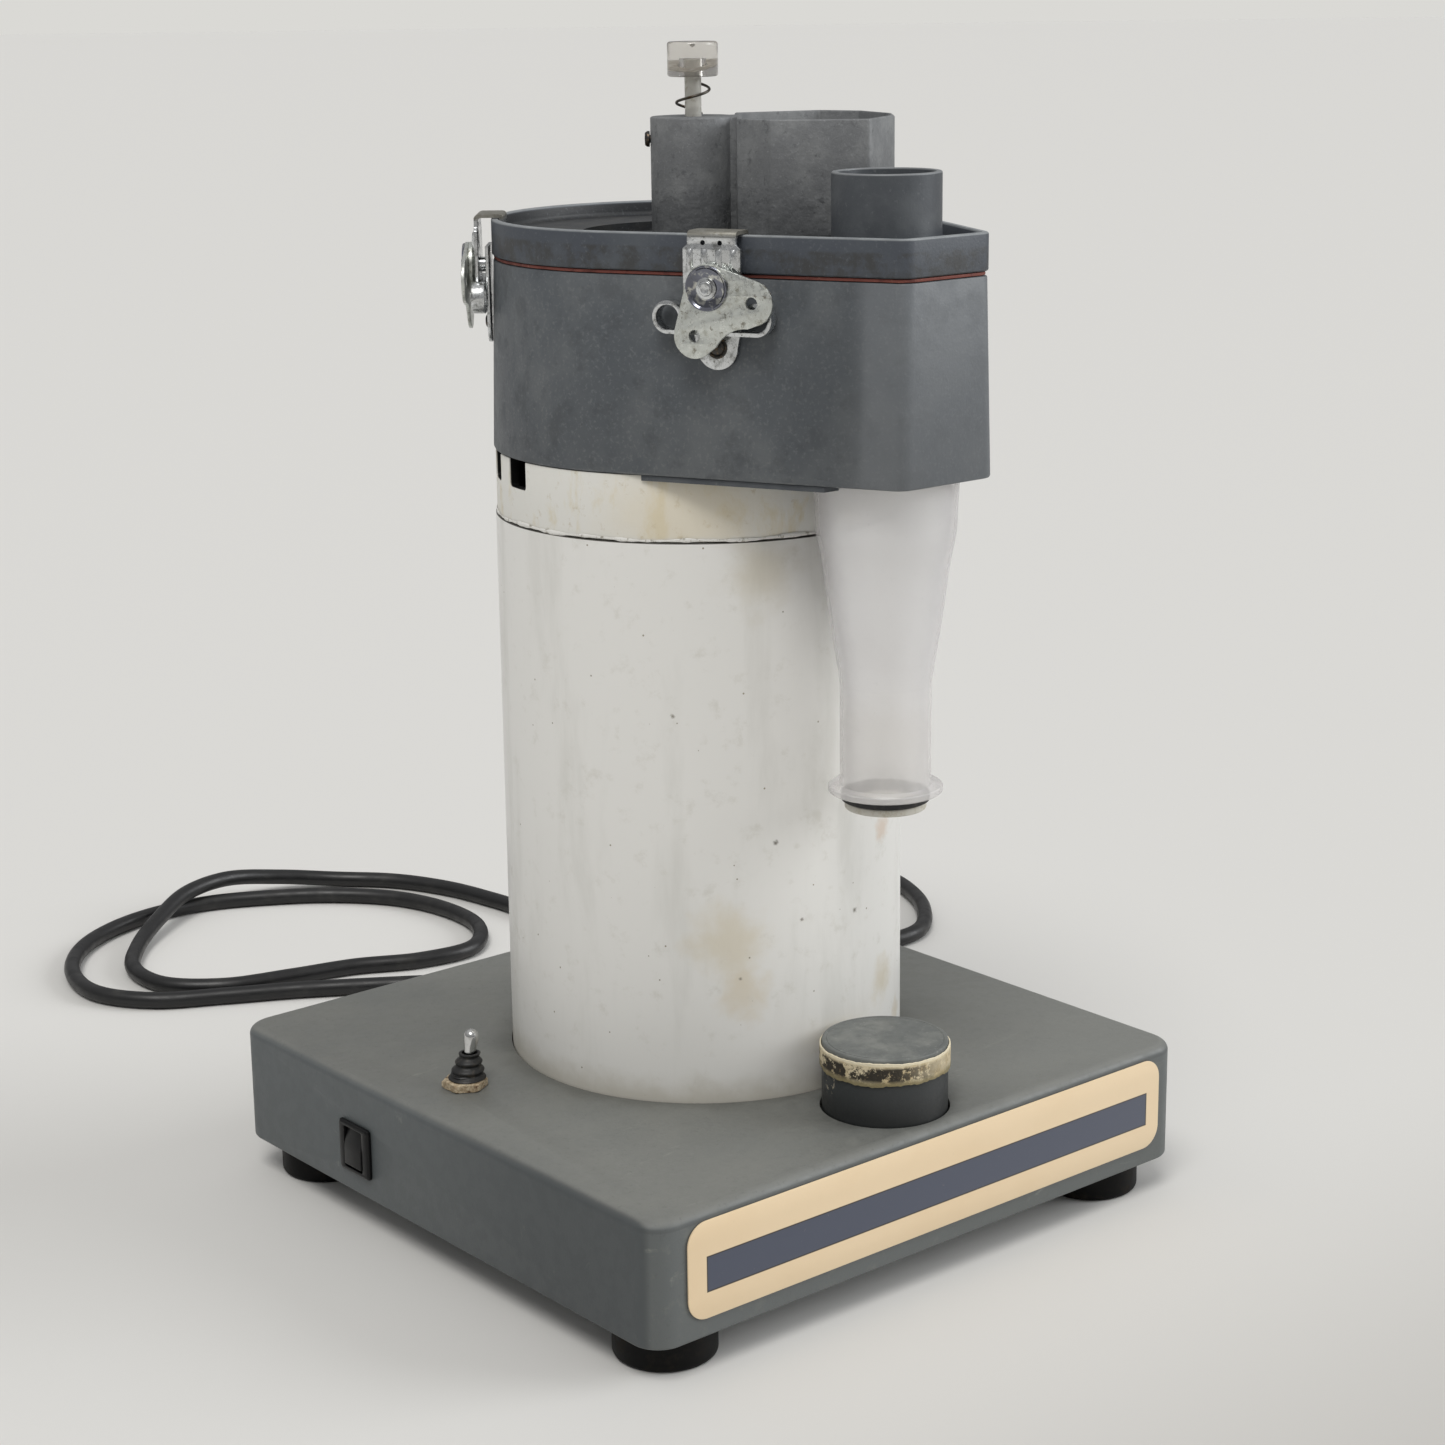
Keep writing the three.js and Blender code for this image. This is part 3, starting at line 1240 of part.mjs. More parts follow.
// Rotary draw latches, built facing -Y with the pivot at the origin
const pivotZ = rimTop - latchPivotDrop;
const latchFootLow = pivotZ - latchBaseFoot - latchFootRadius;
const latchWall = headTopRadius + (headDraft * (headTop - latchFootLow)) / headHeight;
const baseOutFrom = seat;
const baseOutTo = baseOutFrom + latchSteel;
const hookOutTo = hookStandOff + latchSteel;
const camOut = hookOutTo + seat;
const wingOut = camOut + camThickness;
const wingOutTo = wingOut + latchSteel;
const headOut = wingOutTo + seat;
function latchBase() {
  const half = latchBaseWidth / 2;
  const sheet = prism([
    [-half, latchBaseTop], [-half, -latchBaseShoulder], [-latchFootRadius, -latchBaseFoot],
    [latchFootRadius, -latchBaseFoot], [half, -latchBaseShoulder], [half, latchBaseTop],
  ], baseOutFrom, baseOutTo);
  const foot = bar(latchFootRadius, baseOutFrom, baseOutTo, smallSides, 0, -latchBaseFoot);
  const rivetTop = baseOutTo + latchRivetProud;
  const rivet = bar(latchRivetRadius, baseOutFrom, rivetTop, smallSides, 0, -latchBaseFoot);
  const post = bar(latchPostRadius, baseOutFrom, headOut + seat, smallSides);
  const head = turned([
    [0, headOut], [latchHeadRadius, headOut], [latchHeadRadius, headOut + latchHeadHeight / 2],
    [latchHeadRadius / 2, headOut + latchHeadHeight], [0, headOut + latchHeadHeight],
  ], smallSides);
  const centreLine = [];
  for (const end of [-1, 1]) {
    const curl = Array.from({ length: curlSteps + 1 }, (_, step) => {
      const turn = THREE.MathUtils.degToRad(-90 + (end * curlSweep * step) / curlSteps);
      return [
        end * curlHalfSpan + curlRadius * Math.cos(turn),
        -curlDrop + curlRadius * (1 + Math.sin(turn)),
      ];
    });
    centreLine.push(...(end < 0 ? curl.reverse() : curl));
  }
  const side = (offset) => centreLine.map(([x, y], at) => {
    const before = centreLine[Math.max(at - 1, 0)];
    const after = centreLine[Math.min(at + 1, centreLine.length - 1)];
    const length = Math.hypot(after[0] - before[0], after[1] - before[1]);
    return [x - (offset * (after[1] - before[1])) / length, y + (offset * (after[0] - before[0])) / length];
  });
  const stripOutline = [...side(-curlSteel / 2), ...side(curlSteel / 2).reverse()];
  const strip = prism(stripOutline, baseOutTo - seat, baseOutTo + curlWidth);
  return joined(...[sheet, foot, rivet, post, head, strip].map((part) => solid(standing(part))));
}
function latchHook() {
  const wide = hookPlateWidth / 2;
  const narrow = hookWidth / 2;
  const top = latchPivotDrop + seat;
  const plate = prism([
    [-wide, -hookPlateBottom], [wide, -hookPlateBottom], [wide, hookPlateTop], [narrow, hookPlateTop],
    [narrow, top + latchSteel], [-narrow, top + latchSteel], [-narrow, hookPlateTop], [-wide, hookPlateTop],
  ], hookStandOff, hookOutTo);
  const rimInside = latchWall - trayRadius + hookRimGap;
  const bridge = prism([
    [-narrow, top], [narrow, top], [narrow, top + latchSteel], [-narrow, top + latchSteel],
  ], -rimInside - latchSteel, hookOutTo);
  const lipLow = top - hookLip;
  const lip = prism([
    [-narrow, lipLow], [narrow, lipLow], [narrow, top + latchSteel], [-narrow, top + latchSteel],
  ], -rimInside - latchSteel, -rimInside);
  const slotHalf = latchPostRadius + slideGap;
  const slotLow = -slotHalf - latchLift;
  const slot = prism([
    [-slotHalf, slotLow], [slotHalf, slotLow], [slotHalf, slotHalf], [-slotHalf, slotHalf],
  ], hookStandOff - overrun, hookOutTo + overrun);
  const holes = [-1, 1].map((end) => bar(
    hookHoleRadius,
    hookStandOff - overrun,
    hookOutTo + overrun,
    nutSides,
    (end * hookHoleSpacing) / 2,
    hookHoleRise,
  ));
  const ribOut = hookOutTo + hookRibDepth;
  const ribs = Array.from({ length: hookRibs }, (_, rib) => {
    const pitch = hookPlateWidth / hookRibs;
    const middle = -wide + pitch * rib + pitch / 2;
    const half = pitch / 4;
    const low = camRadius + 2 * seat;
    return block(middle, (low + hookPlateTop) / 2, 2 * half, hookPlateTop - low, hookOutTo - seat, ribOut);
  });
  return cut(
    joined(...[plate, bridge, lip, ...ribs].map((part) => solid(standing(part)))),
    ...[slot, ...holes].map((part) => solid(standing(part))),
  );
}
function latchWing() {
  const lobes = [-1, 1].map((end) => THREE.MathUtils.degToRad(wingAngle + (end * wingSpread) / 2));
  const lobeAt = (turn) => [wingReach * Math.cos(turn), wingReach * Math.sin(turn)];
  const arms = lobes.map((turn) => {
    const [x, y] = lobeAt(turn);
    const [across, up] = [-Math.sin(turn), Math.cos(turn)];
    return prism([
      [-camRadius * across, -camRadius * up], [x - lobeRadius * across, y - lobeRadius * up],
      [x + lobeRadius * across, y + lobeRadius * up], [camRadius * across, camRadius * up],
    ], wingOut, wingOutTo);
  });
  const ends = lobes.map((turn) => bar(lobeRadius, wingOut, wingOutTo, smallSides, ...lobeAt(turn)));
  const cam = bar(camRadius, camOut, wingOutTo, smallSides);
  const middle = THREE.MathUtils.degToRad(wingAngle);
  const chord = wingReach * Math.cos(THREE.MathUtils.degToRad(wingSpread / 2));
  const waistAt = chord + lobeRadius + wingWaistRadius - wingWaistDepth;
  const waist = bar(
    wingWaistRadius,
    wingOut - overrun,
    wingOutTo + overrun,
    smallSides,
    waistAt * Math.cos(middle),
    waistAt * Math.sin(middle),
  );
  const holes = lobes.map(
    (turn) => bar(lobeHoleRadius, wingOut - overrun, wingOutTo + overrun, smallSides, ...lobeAt(turn)),
  );
  const bore = bar(latchPostRadius + seat, camOut - overrun, wingOutTo + overrun, smallSides);
  return cut(
    joined(...[cam, ...arms, ...ends].map((part) => solid(standing(part)))),
    ...[waist, bore, ...holes].map((part) => solid(standing(part))),
  );
}
const latchPlaces = {
  latch_front_left: Math.PI + noseTurn,
  latch_front_right: -noseTurn,
  latch_back_left: THREE.MathUtils.degToRad(backLatchTurn),
  latch_back_right: Math.PI - THREE.MathUtils.degToRad(backLatchTurn),
};
const latchSlides = {
  latch_front_left: leftLatchAlongWall,
  latch_front_right: -rightLatchAlongWall,
  latch_back_left: 0,
  latch_back_right: 0,
};
for (const [name, outward] of Object.entries(latchPlaces)) {
  const slide = latchSlides[name];
  const latch = new THREE.Group();
  latch.position.set(
    axisX + latchWall * Math.cos(outward) - slide * Math.sin(outward),
    latchWall * Math.sin(outward) + slide * Math.cos(outward),
    pivotZ,
  );
  latch.rotation.z = outward + Math.PI / 2;
  mill.add(latch);
  piece(latch, `${name}_base`, latchBase(), 'zinc');
  piece(latch, `${name}_hook`, latchHook(), 'zinc');
  piece(latch, `${name}_wing`, latchWing(), 'zinc');
}

// Strain relief: neck through the back wall, flange, and a taper down to the cord
const reliefStart = baseBack + seat;
const reliefProfile = [
  [0, -reliefNeckLength], [reliefNeckRadius, -reliefNeckLength], [reliefNeckRadius, 0],
  [reliefFlangeRadius, 0], [reliefFlangeRadius, reliefFlangeThickness],
  [reliefRootRadius, reliefFlangeThickness], [reliefTipRadius, reliefLength], [0, reliefLength],
];
const relief = turned(reliefProfile, smallSides)
  .rotateX(-Math.PI / 2)
  .translate(cordExitX, reliefStart, cordExitZ);
piece(mill, 'strain_relief', solid(relief), 'rubber');

// Cord: one tube along the hand-laid route
const cordStart = reliefStart + reliefLength + seat;
const cordRoute = [
  [cordExitX, cordStart, cordExitZ],
  [cordExitX, cordStart + cordStraight, cordExitZ],
  ...cordLay,
];
const cordCurve = new THREE.CatmullRomCurve3(cordRoute.map((point) => new THREE.Vector3(...point)));
const cordSection = new THREE.Shape(Array.from({ length: cordSides }, (_, side) => {
  const turn = (2 * Math.PI * (side + 0.5)) / cordSides;
  return new THREE.Vector2((cordDiameter / 2) * Math.cos(turn), (cordDiameter / 2) * Math.sin(turn));
}));
const cordTube = new THREE.ExtrudeGeometry(cordSection, { steps: cordSteps, extrudePath: cordCurve });
piece(mill, 'cord', solid(cordTube), 'rubber');
const cordSamples = cordCurve.getSpacedPoints(cordSteps * cordSides);
const cordLength = cordCurve.getLength();
const clearSteps = Math.ceil((4 * cordDiameter * cordSamples.length) / cordLength);
const cordGap = leastGap(cordSamples, cordDiameter / 2, clearSteps);
console.log(`cord: length ${cordLength.toFixed(0)} mm, least gap to itself ${cordGap.toFixed(2)} mm`);

// Plug on the cord's end: a moulded body lying on the floor, two blades and an earth pin
const cordEnd = cordRoute[cordRoute.length - 1];
const plugFrom = cordEnd[1] + seat;
const plugShoulder = plugFrom + plugNeckLength;
const plugFace = plugShoulder + plugBodyLength;
const plugMiddleZ = cordEnd[2];
const plugOutline = roundedRectangle(0, 0, plugWidth, plugHeight, plugHeight / 2 - seat);
const layPlug = (geometry, y) => geometry.rotateX(-Math.PI / 2).translate(cordEnd[0], y, plugMiddleZ);
const neckEnd = plugNeckLength + seat;
const neckProfile = [[0, 0], [cordDiameter / 2, 0], [plugNeckRadius, neckEnd], [0, neckEnd]];
const plugParts = [
  layPlug(turned(neckProfile, smallSides), plugFrom),
  layPlug(prism(plugOutline, 0, plugBodyLength), plugShoulder),
  layPlug(bar(earthPinRadius, -seat, bladeLength, smallSides, 0, earthPinOffset), plugFace),
  ...[-1, 1].map((end) => {
    const bladeX = (end * bladeSpacing) / 2;
    const blade = block(bladeX, bladeOffset, bladeThickness, bladeWidth, -seat, bladeLength);
    return layPlug(blade, plugFace);
  }),
];
piece(mill, 'cord_plug', joined(...plugParts.map(solid)), 'rubber');

export default mill;
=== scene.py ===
"""A bench-top cyclone mill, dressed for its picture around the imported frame.

Lengths are in millimetres and turn into metres when a mesh is made. +Z is up, +X runs along the label
face and +Y to the back.
"""
import math

import bmesh
import bpy
import numpy as np
from mathutils import Matrix, Vector


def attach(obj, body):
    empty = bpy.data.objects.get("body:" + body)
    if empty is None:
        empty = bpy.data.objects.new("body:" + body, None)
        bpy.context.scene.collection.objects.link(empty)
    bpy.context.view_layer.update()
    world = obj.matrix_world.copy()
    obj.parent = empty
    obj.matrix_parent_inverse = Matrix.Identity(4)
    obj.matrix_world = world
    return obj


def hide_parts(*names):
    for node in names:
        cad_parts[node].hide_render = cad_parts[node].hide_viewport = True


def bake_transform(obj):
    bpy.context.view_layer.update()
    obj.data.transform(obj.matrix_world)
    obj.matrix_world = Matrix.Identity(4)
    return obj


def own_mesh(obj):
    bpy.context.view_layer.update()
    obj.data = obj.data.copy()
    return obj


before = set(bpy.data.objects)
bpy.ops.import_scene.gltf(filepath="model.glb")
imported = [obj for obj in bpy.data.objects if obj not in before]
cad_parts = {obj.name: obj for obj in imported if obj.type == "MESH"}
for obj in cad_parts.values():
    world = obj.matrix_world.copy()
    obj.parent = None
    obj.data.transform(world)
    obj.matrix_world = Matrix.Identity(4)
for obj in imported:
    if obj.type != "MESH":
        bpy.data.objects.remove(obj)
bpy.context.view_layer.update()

MM = 0.001
TAU = 2 * math.pi

# Sizes shared with the frame
AXIS_X = 2.0
BOTTLE_Y = -113.4
BOTTLE_AXIS = (AXIS_X, BOTTLE_Y)
BASE_HALF, BASE_LOW, BASE_TOP, BASE_WALL = 145.5, 15.4, 67.2, 3
LABEL_X, LABEL_LEVEL = 1.2, 43.5
ROCKER_Y, ROCKER_LEVEL = 53, 36.5
TOGGLE_AT, TOGGLE_PIVOT, TOGGLE_LEAN, BUSHING_R = (-114.8, 16.2), 64.2, 9, 6
PEDESTAL_R = 25.65
TUBE_R, TUBE_BORE, TUBE_LOW, TUBE_TOP = 84.15, 80.15, 17.7, 299.2
COLLAR_R, COLLAR_BORE, COLLAR_LOW, COLLAR_TOP = 83.5, 79.5, 299.5, 325.7
HEAD_WIDE, HEAD_TAPER, HEAD_LOW, HEAD_TOP = 84.2, 2.2, 326.0, 402.5
NOSE_Y, NOSE_HALF = -147.8, 33.7
NOSE_TURN = math.asin((HEAD_WIDE - HEAD_TAPER - NOSE_HALF) / -BOTTLE_Y)
AIR_WAY = (-25.6, BOTTLE_Y, 362), (-8.6, -66, 396)
GASKET_LOW, GASKET_TOP = 402.8, 404.0
LID_R, LID_NOSE, LID_LOW, RIM_TOP, RIM_WALL = 82.5, -147.3, 404.3, 418.7, 3
OUTLET_BORE, FEED_BORE = 21.3, 8
HOPPER_LOW, HOPPER_TOP, COLUMN_R = 412.9, 457.7, 17.4
SCREW_AT = (-COLUMN_R, 0, 448.9)
LATCH_LEVEL, LATCH_FOOT_Y, LATCH_FOOT_R = 399.7, -23, 8.5
CORD_X, CORD_LEVEL, CORD_R = 95, 30, 4.3
PLUG_AT = (352, 403, 7.4)


def shown(name, data):
    """An object for its data, put into the scene."""
    thing = bpy.data.objects.new(name, data)
    bpy.context.scene.collection.objects.link(thing)
    return thing


# Camera: placed by measured points of the picture
def make_camera():
    """The camera looks against its own back axis, (sin a cos e, -cos a cos e, sin e) for turn a and tilt
    e, and is rolled about it. Its place is in metres."""
    turn, tilt, roll = (math.radians(v) for v in (-39.953, 14.543, -0.715))
    back = Vector((math.sin(turn) * math.cos(tilt), -math.cos(turn) * math.cos(tilt), math.sin(tilt)))
    right = (-back).cross(Vector((0, 0, 1))).normalized()
    up = right.cross(-back)
    right, up = (
        math.cos(roll) * right + math.sin(roll) * up,
        math.cos(roll) * up - math.sin(roll) * right,
    )
    lens = bpy.data.cameras.new("camera")
    lens.sensor_width = 36
    lens.lens = 71.787
    lens.clip_end = 30
    camera = shown("camera", lens)
    place = Matrix.Translation((-0.75111, -0.91256, 0.5125))
    camera.matrix_world = place @ Matrix((right, up, back)).transposed().to_4x4()
    bpy.context.scene.camera = camera


make_camera()


# Making meshes
def link(name, mesh, body, stands_for, material, smooth=35):
    """A finished mesh as a piece of one material that stands for nodes of the frame and, where a body is
    named, rides on it. Edges sharper than an angle stay sharp."""
    piece = shown(name, mesh)
    mesh.shade_smooth()
    mesh.set_sharp_from_angle(angle=math.radians(smooth))
    if body:
        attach(piece, body)
    if stands_for:
        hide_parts(*stands_for)
    mesh.materials.clear()
    mesh.materials.append(material)
    return piece


def from_arrays(name, points, quads, caps):
    """A mesh from an array of points in millimetres, an array of quads and whole-ring caps."""
    mesh = bpy.data.meshes.new(name)
    faces = [tuple(q) for q in quads.tolist()] + [tuple(c) for c in caps]
    mesh.from_pydata((points.reshape(-1, 3) * MM).tolist(), [], faces)
    return tidy(mesh)


def tidy(mesh):
    """Doubles merged and faces turned outwards."""
    shape = bmesh.new()
    shape.from_mesh(mesh)
    bmesh.ops.remove_doubles(shape, verts=shape.verts, dist=2e-6)
    bmesh.ops.dissolve_degenerate(shape, edges=shape.edges, dist=1e-6)
    bmesh.ops.recalc_face_normals(shape, faces=shape.faces)
    shape.to_mesh(mesh)
    shape.free()
    return mesh


def skin(name, rings, endless=False, capped=True):
    """Rings of equal length, one array of rows, joined by quads from each ring to the next; the last is
    joined to the first where the skin is endless, and otherwise both ends are closed by one face."""
    rows, columns = rings.shape[:2]
    at = np.arange(rows * columns).reshape(rows, columns)
    low = at if endless else at[:-1]
    high = np.roll(at, -1, 0) if endless else at[1:]
    quads = np.stack([low, np.roll(low, -1, 1), np.roll(high, -1, 1), high], -1).reshape(-1, 4)
    caps = [] if endless or not capped else [at[0][::-1].tolist(), at[-1].tolist()]
    return from_arrays(name, rings, quads, caps)


def round_turn(count):
    """Evenly spaced turns round a circle."""
    return np.arange(count) * TAU / count


def polar(radius, turn, centre=(0.0, 0.0), level=None):
    """Points at a radius and a turn round a centre, x = cx + r cos t and y = cy + r sin t, and at a level
    where one is given."""
    levels = [] if level is None else [level]
    return np.stack(np.broadcast_arrays(
        centre[0] + radius * np.cos(turn), centre[1] + radius * np.sin(turn), *levels), -1)


def lathe(name, profile, sides=96, centre=(AXIS_X, 0.0), endless=False, lean=0.0, pivot=0.0):
    """A profile of radius and level carried round an upright axis. The axis may lean towards +X about a
    pivot level."""
    radius, level = np.asarray(profile, float).T[:, :, None]
    rings = polar(radius, round_turn(sides), centre, level)
    rings[..., 0] += (level - pivot) * math.tan(lean)
    return skin(name, rings, endless, capped=False)


def eased(corners, radius, steps=5, closed=True):
    """Each corner of a flat polyline replaced by an arc that touches both sides; where the sides are
    short the arc shrinks to fit."""
    corners = np.asarray(corners, float)
    radii = np.broadcast_to(np.asarray(radius, float), (len(corners),))
    before, after = np.roll(corners, 1, 0), np.roll(corners, -1, 0)
    out = []
    for at, (here, last, following, r) in enumerate(zip(corners, before, after, radii)):
        if r <= 0 or (not closed and at in (0, len(corners) - 1)):
            out.append(here[None])
            continue
        a, b = last - here, following - here
        la, lb = np.hypot(*a), np.hypot(*b)
        a, b = a / la, b / lb
        half = math.acos(max(-1, min(1, float(a @ b)))) / 2
        if half > math.pi / 2 - 0.01:
            out.append(here[None])
            continue
        reach = min(r / math.tan(half), 0.49 * la, 0.49 * lb)
        r = reach * math.tan(half)
        middle = here + (a + b) / np.hypot(*(a + b)) * r / math.sin(half)
        start = math.atan2(*(here + a * reach - middle)[::-1])
        sweep = math.atan2(*(here + b * reach - middle)[::-1]) - start
        sweep = (sweep + math.pi) % TAU - math.pi
        turn = start + sweep * np.linspace(0, 1, steps + 1)
        out.append(middle + r * np.stack([np.cos(turn), np.sin(turn)], -1))
    return np.concatenate(out)


def lifted(outline, level):
    """A flat outline at a level."""
    outline = np.asarray(outline, float)
    return np.concatenate([outline, np.full((len(outline), 1), float(level))], 1)


def square(half_x, half_y, radius, centre=(0.0, 0.0), steps=8):
    """A rectangle with round corners."""
    corners = np.array([(-half_x, -half_y), (half_x, -half_y), (half_x, half_y), (-half_x, half_y)])
    return eased(corners, radius, steps) + np.array(centre)


def teardrop(radius, nose, corner=7.0, steps=120):
    """The head's plan: a circle about the motor axis, two straight walls that touch it, and a nose cut
    off square with round corners."""
    half = (radius + nose * math.sin(NOSE_TURN)) / math.cos(NOSE_TURN)
    round_wall = polar(radius, np.linspace(-NOSE_TURN, math.pi + NOSE_TURN, steps + 1))
    corners = np.array([round_wall[-1], (-half, nose), (half, nose), round_wall[0]])
    return np.concatenate([round_wall, eased(corners, corner, 8, False)[1:-1]]) + np.array([AXIS_X, 0])


def loft(name, outlines_at_levels):
    """Outlines of equal length stacked at their levels, closed at both ends."""
    return skin(name, np.stack([lifted(outline, level) for outline, level in outlines_at_levels]))


def rod(name, radius, low, high, centre=(AXIS_X, 0.0), sides=96):
    """A plain round bar, for cutting and joining."""
    ring = polar(radius, round_turn(sides), centre)
    return loft(name, [(ring, low), (ring, high)])


def brick(name, low, high):
    """A plain block between two corners, for cutting."""
    (x0, y0, z0), (x1, y1, z1) = low, high
    outline = np.array([(x0, y0), (x1, y0), (x1, y1), (x0, y1)])
    return loft(name, [(outline, z0), (outline, z1)])


def shift(x, y, z):
    """A move in millimetres."""
    return Matrix.Translation((x, y, z))


def turned(degrees, axis):
    """A turn about an axis through the origin."""
    return Matrix.Rotation(math.radians(degrees), 4, axis)


def moved(mesh, matrix):
    """A mesh carried by a matrix whose move is in millimetres."""
    matrix = matrix.copy()
    matrix.translation *= MM
    mesh.transform(matrix)
    return mesh


def faceted(mesh):
    """A mesh whose faces are all triangles, so that each one is flat."""
    shape = bmesh.new()
    shape.from_mesh(mesh)
    bmesh.ops.triangulate(shape, faces=shape.faces)
    shape.to_mesh(mesh)
    shape.free()
    return mesh


def settled(thing):
    """The mesh of an object as its modifiers or its curve make it; the object goes."""
    mesh = bpy.data.meshes.new_from_object(thing.evaluated_get(bpy.context.evaluated_depsgraph_get()))
    bpy.data.objects.remove(thing)
    return mesh


def worked(mesh, tools, how="DIFFERENCE"):
    """A mesh with each tool mesh cut away, joined on or kept in common, in turn."""
    for tool in tools:
        body, other = shown("work", mesh), shown("tool", tool)
        step = body.modifiers.new("work", "BOOLEAN")
        step.operation = how
        step.object = other
        step.solver = "EXACT"
        mesh = settled(body)
        bpy.data.objects.remove(other)
    return mesh


def bevelled(mesh, width, angle=40, segments=2):
    """Edges sharper than an angle rounded off."""
    body = shown("work", mesh)
    step = body.modifiers.new("edge", "BEVEL")
    step.width = width * MM
    step.segments = segments
    step.limit_method = "ANGLE"
    step.angle_limit = math.radians(angle)
    step.harden_normals = False
    return settled(body)


def joined(name, meshes):
    """Several meshes as one."""
    shape = bmesh.new()
    for mesh in meshes:
        shape.from_mesh(mesh)
    whole = bpy.data.meshes.new(name)
    shape.to_mesh(whole)
    shape.free()
    return whole


def plate(name, outlines, low, high, edge=0.25):
    """A flat sheet with holes: closed outlines filled between them, given a thickness, and its edges
    rounded."""
    drawn = bpy.data.curves.new(name, "CURVE")
    drawn.dimensions = "2D"
    drawn.fill_mode = "BOTH"
    drawn.extrude = ((high - low) / 2 - edge) * MM
    drawn.bevel_depth = edge * MM
    drawn.bevel_resolution = 1
    drawn.offset = -edge * MM
    for outline in outlines:
        spline = drawn.splines.new("POLY")
        spline.points.add(len(outline) - 1)
        flat = np.concatenate([lifted(outline, 0) * MM, np.ones((len(outline), 1))], 1)
        spline.points.foreach_set("co", flat.astype(np.float32).ravel())
        spline.use_cyclic_u = True
    mesh = settled(shown("work", drawn))
    mesh.materials.clear()
    mesh.transform(Matrix.Translation((0, 0, (low + high) / 2 * MM)))
    mesh.name = name
    return tidy(mesh)


def circle(radius, x=0.0, y=0.0, sides=32):
    """A circle as an outline."""
    return polar(radius, round_turn(sides), (x, y))


def arc(middle, radius, start, end, steps=24):
    """Points on an arc, angles in degrees."""
    return polar(radius, np.radians(np.linspace(start, end, steps)), middle)


def along(path, section):
    """A flat section carried along a path: at each point the frame is turned by the least turn that
    follows the path, and the section is laid across it."""
    path, section = np.asarray(path, float), np.asarray(section, float)
    heading = np.gradient(path, axis=0)
    heading /= np.linalg.norm(heading, axis=1, keepdims=True)
    side = np.cross(heading[0], (0.0, 0.0, 1.0))
    if np.linalg.norm(side) < 0.1:
        side = np.cross(heading[0], (1.0, 0.0, 0.0))
    sides = []
    for step in heading:
        side = side - step * (side @ step)
        side = side / np.linalg.norm(side)
        sides.append(side)
    sides = np.array(sides)
    rises = np.cross(sides, heading)
    return path[:, None] + sides[:, None] * section[..., :1] + rises[:, None] * section[..., 1:]


def wire(name, path, radius, sides=10):
    """A round wire along a path, with closed ends."""
    return skin(name, along(path, circle(radius, sides=sides)))


# Finishes
def tone(red, green, blue):
    """A screen colour of 0 to 255 as the linear colour that the nodes take."""
    value = np.array((red, green, blue)) / 255
    linear = np.where(value <= 0.04045, value / 12.92, ((value + 0.055) / 1.055) ** 2.4)
    return (*linear.tolist(), 1.0)


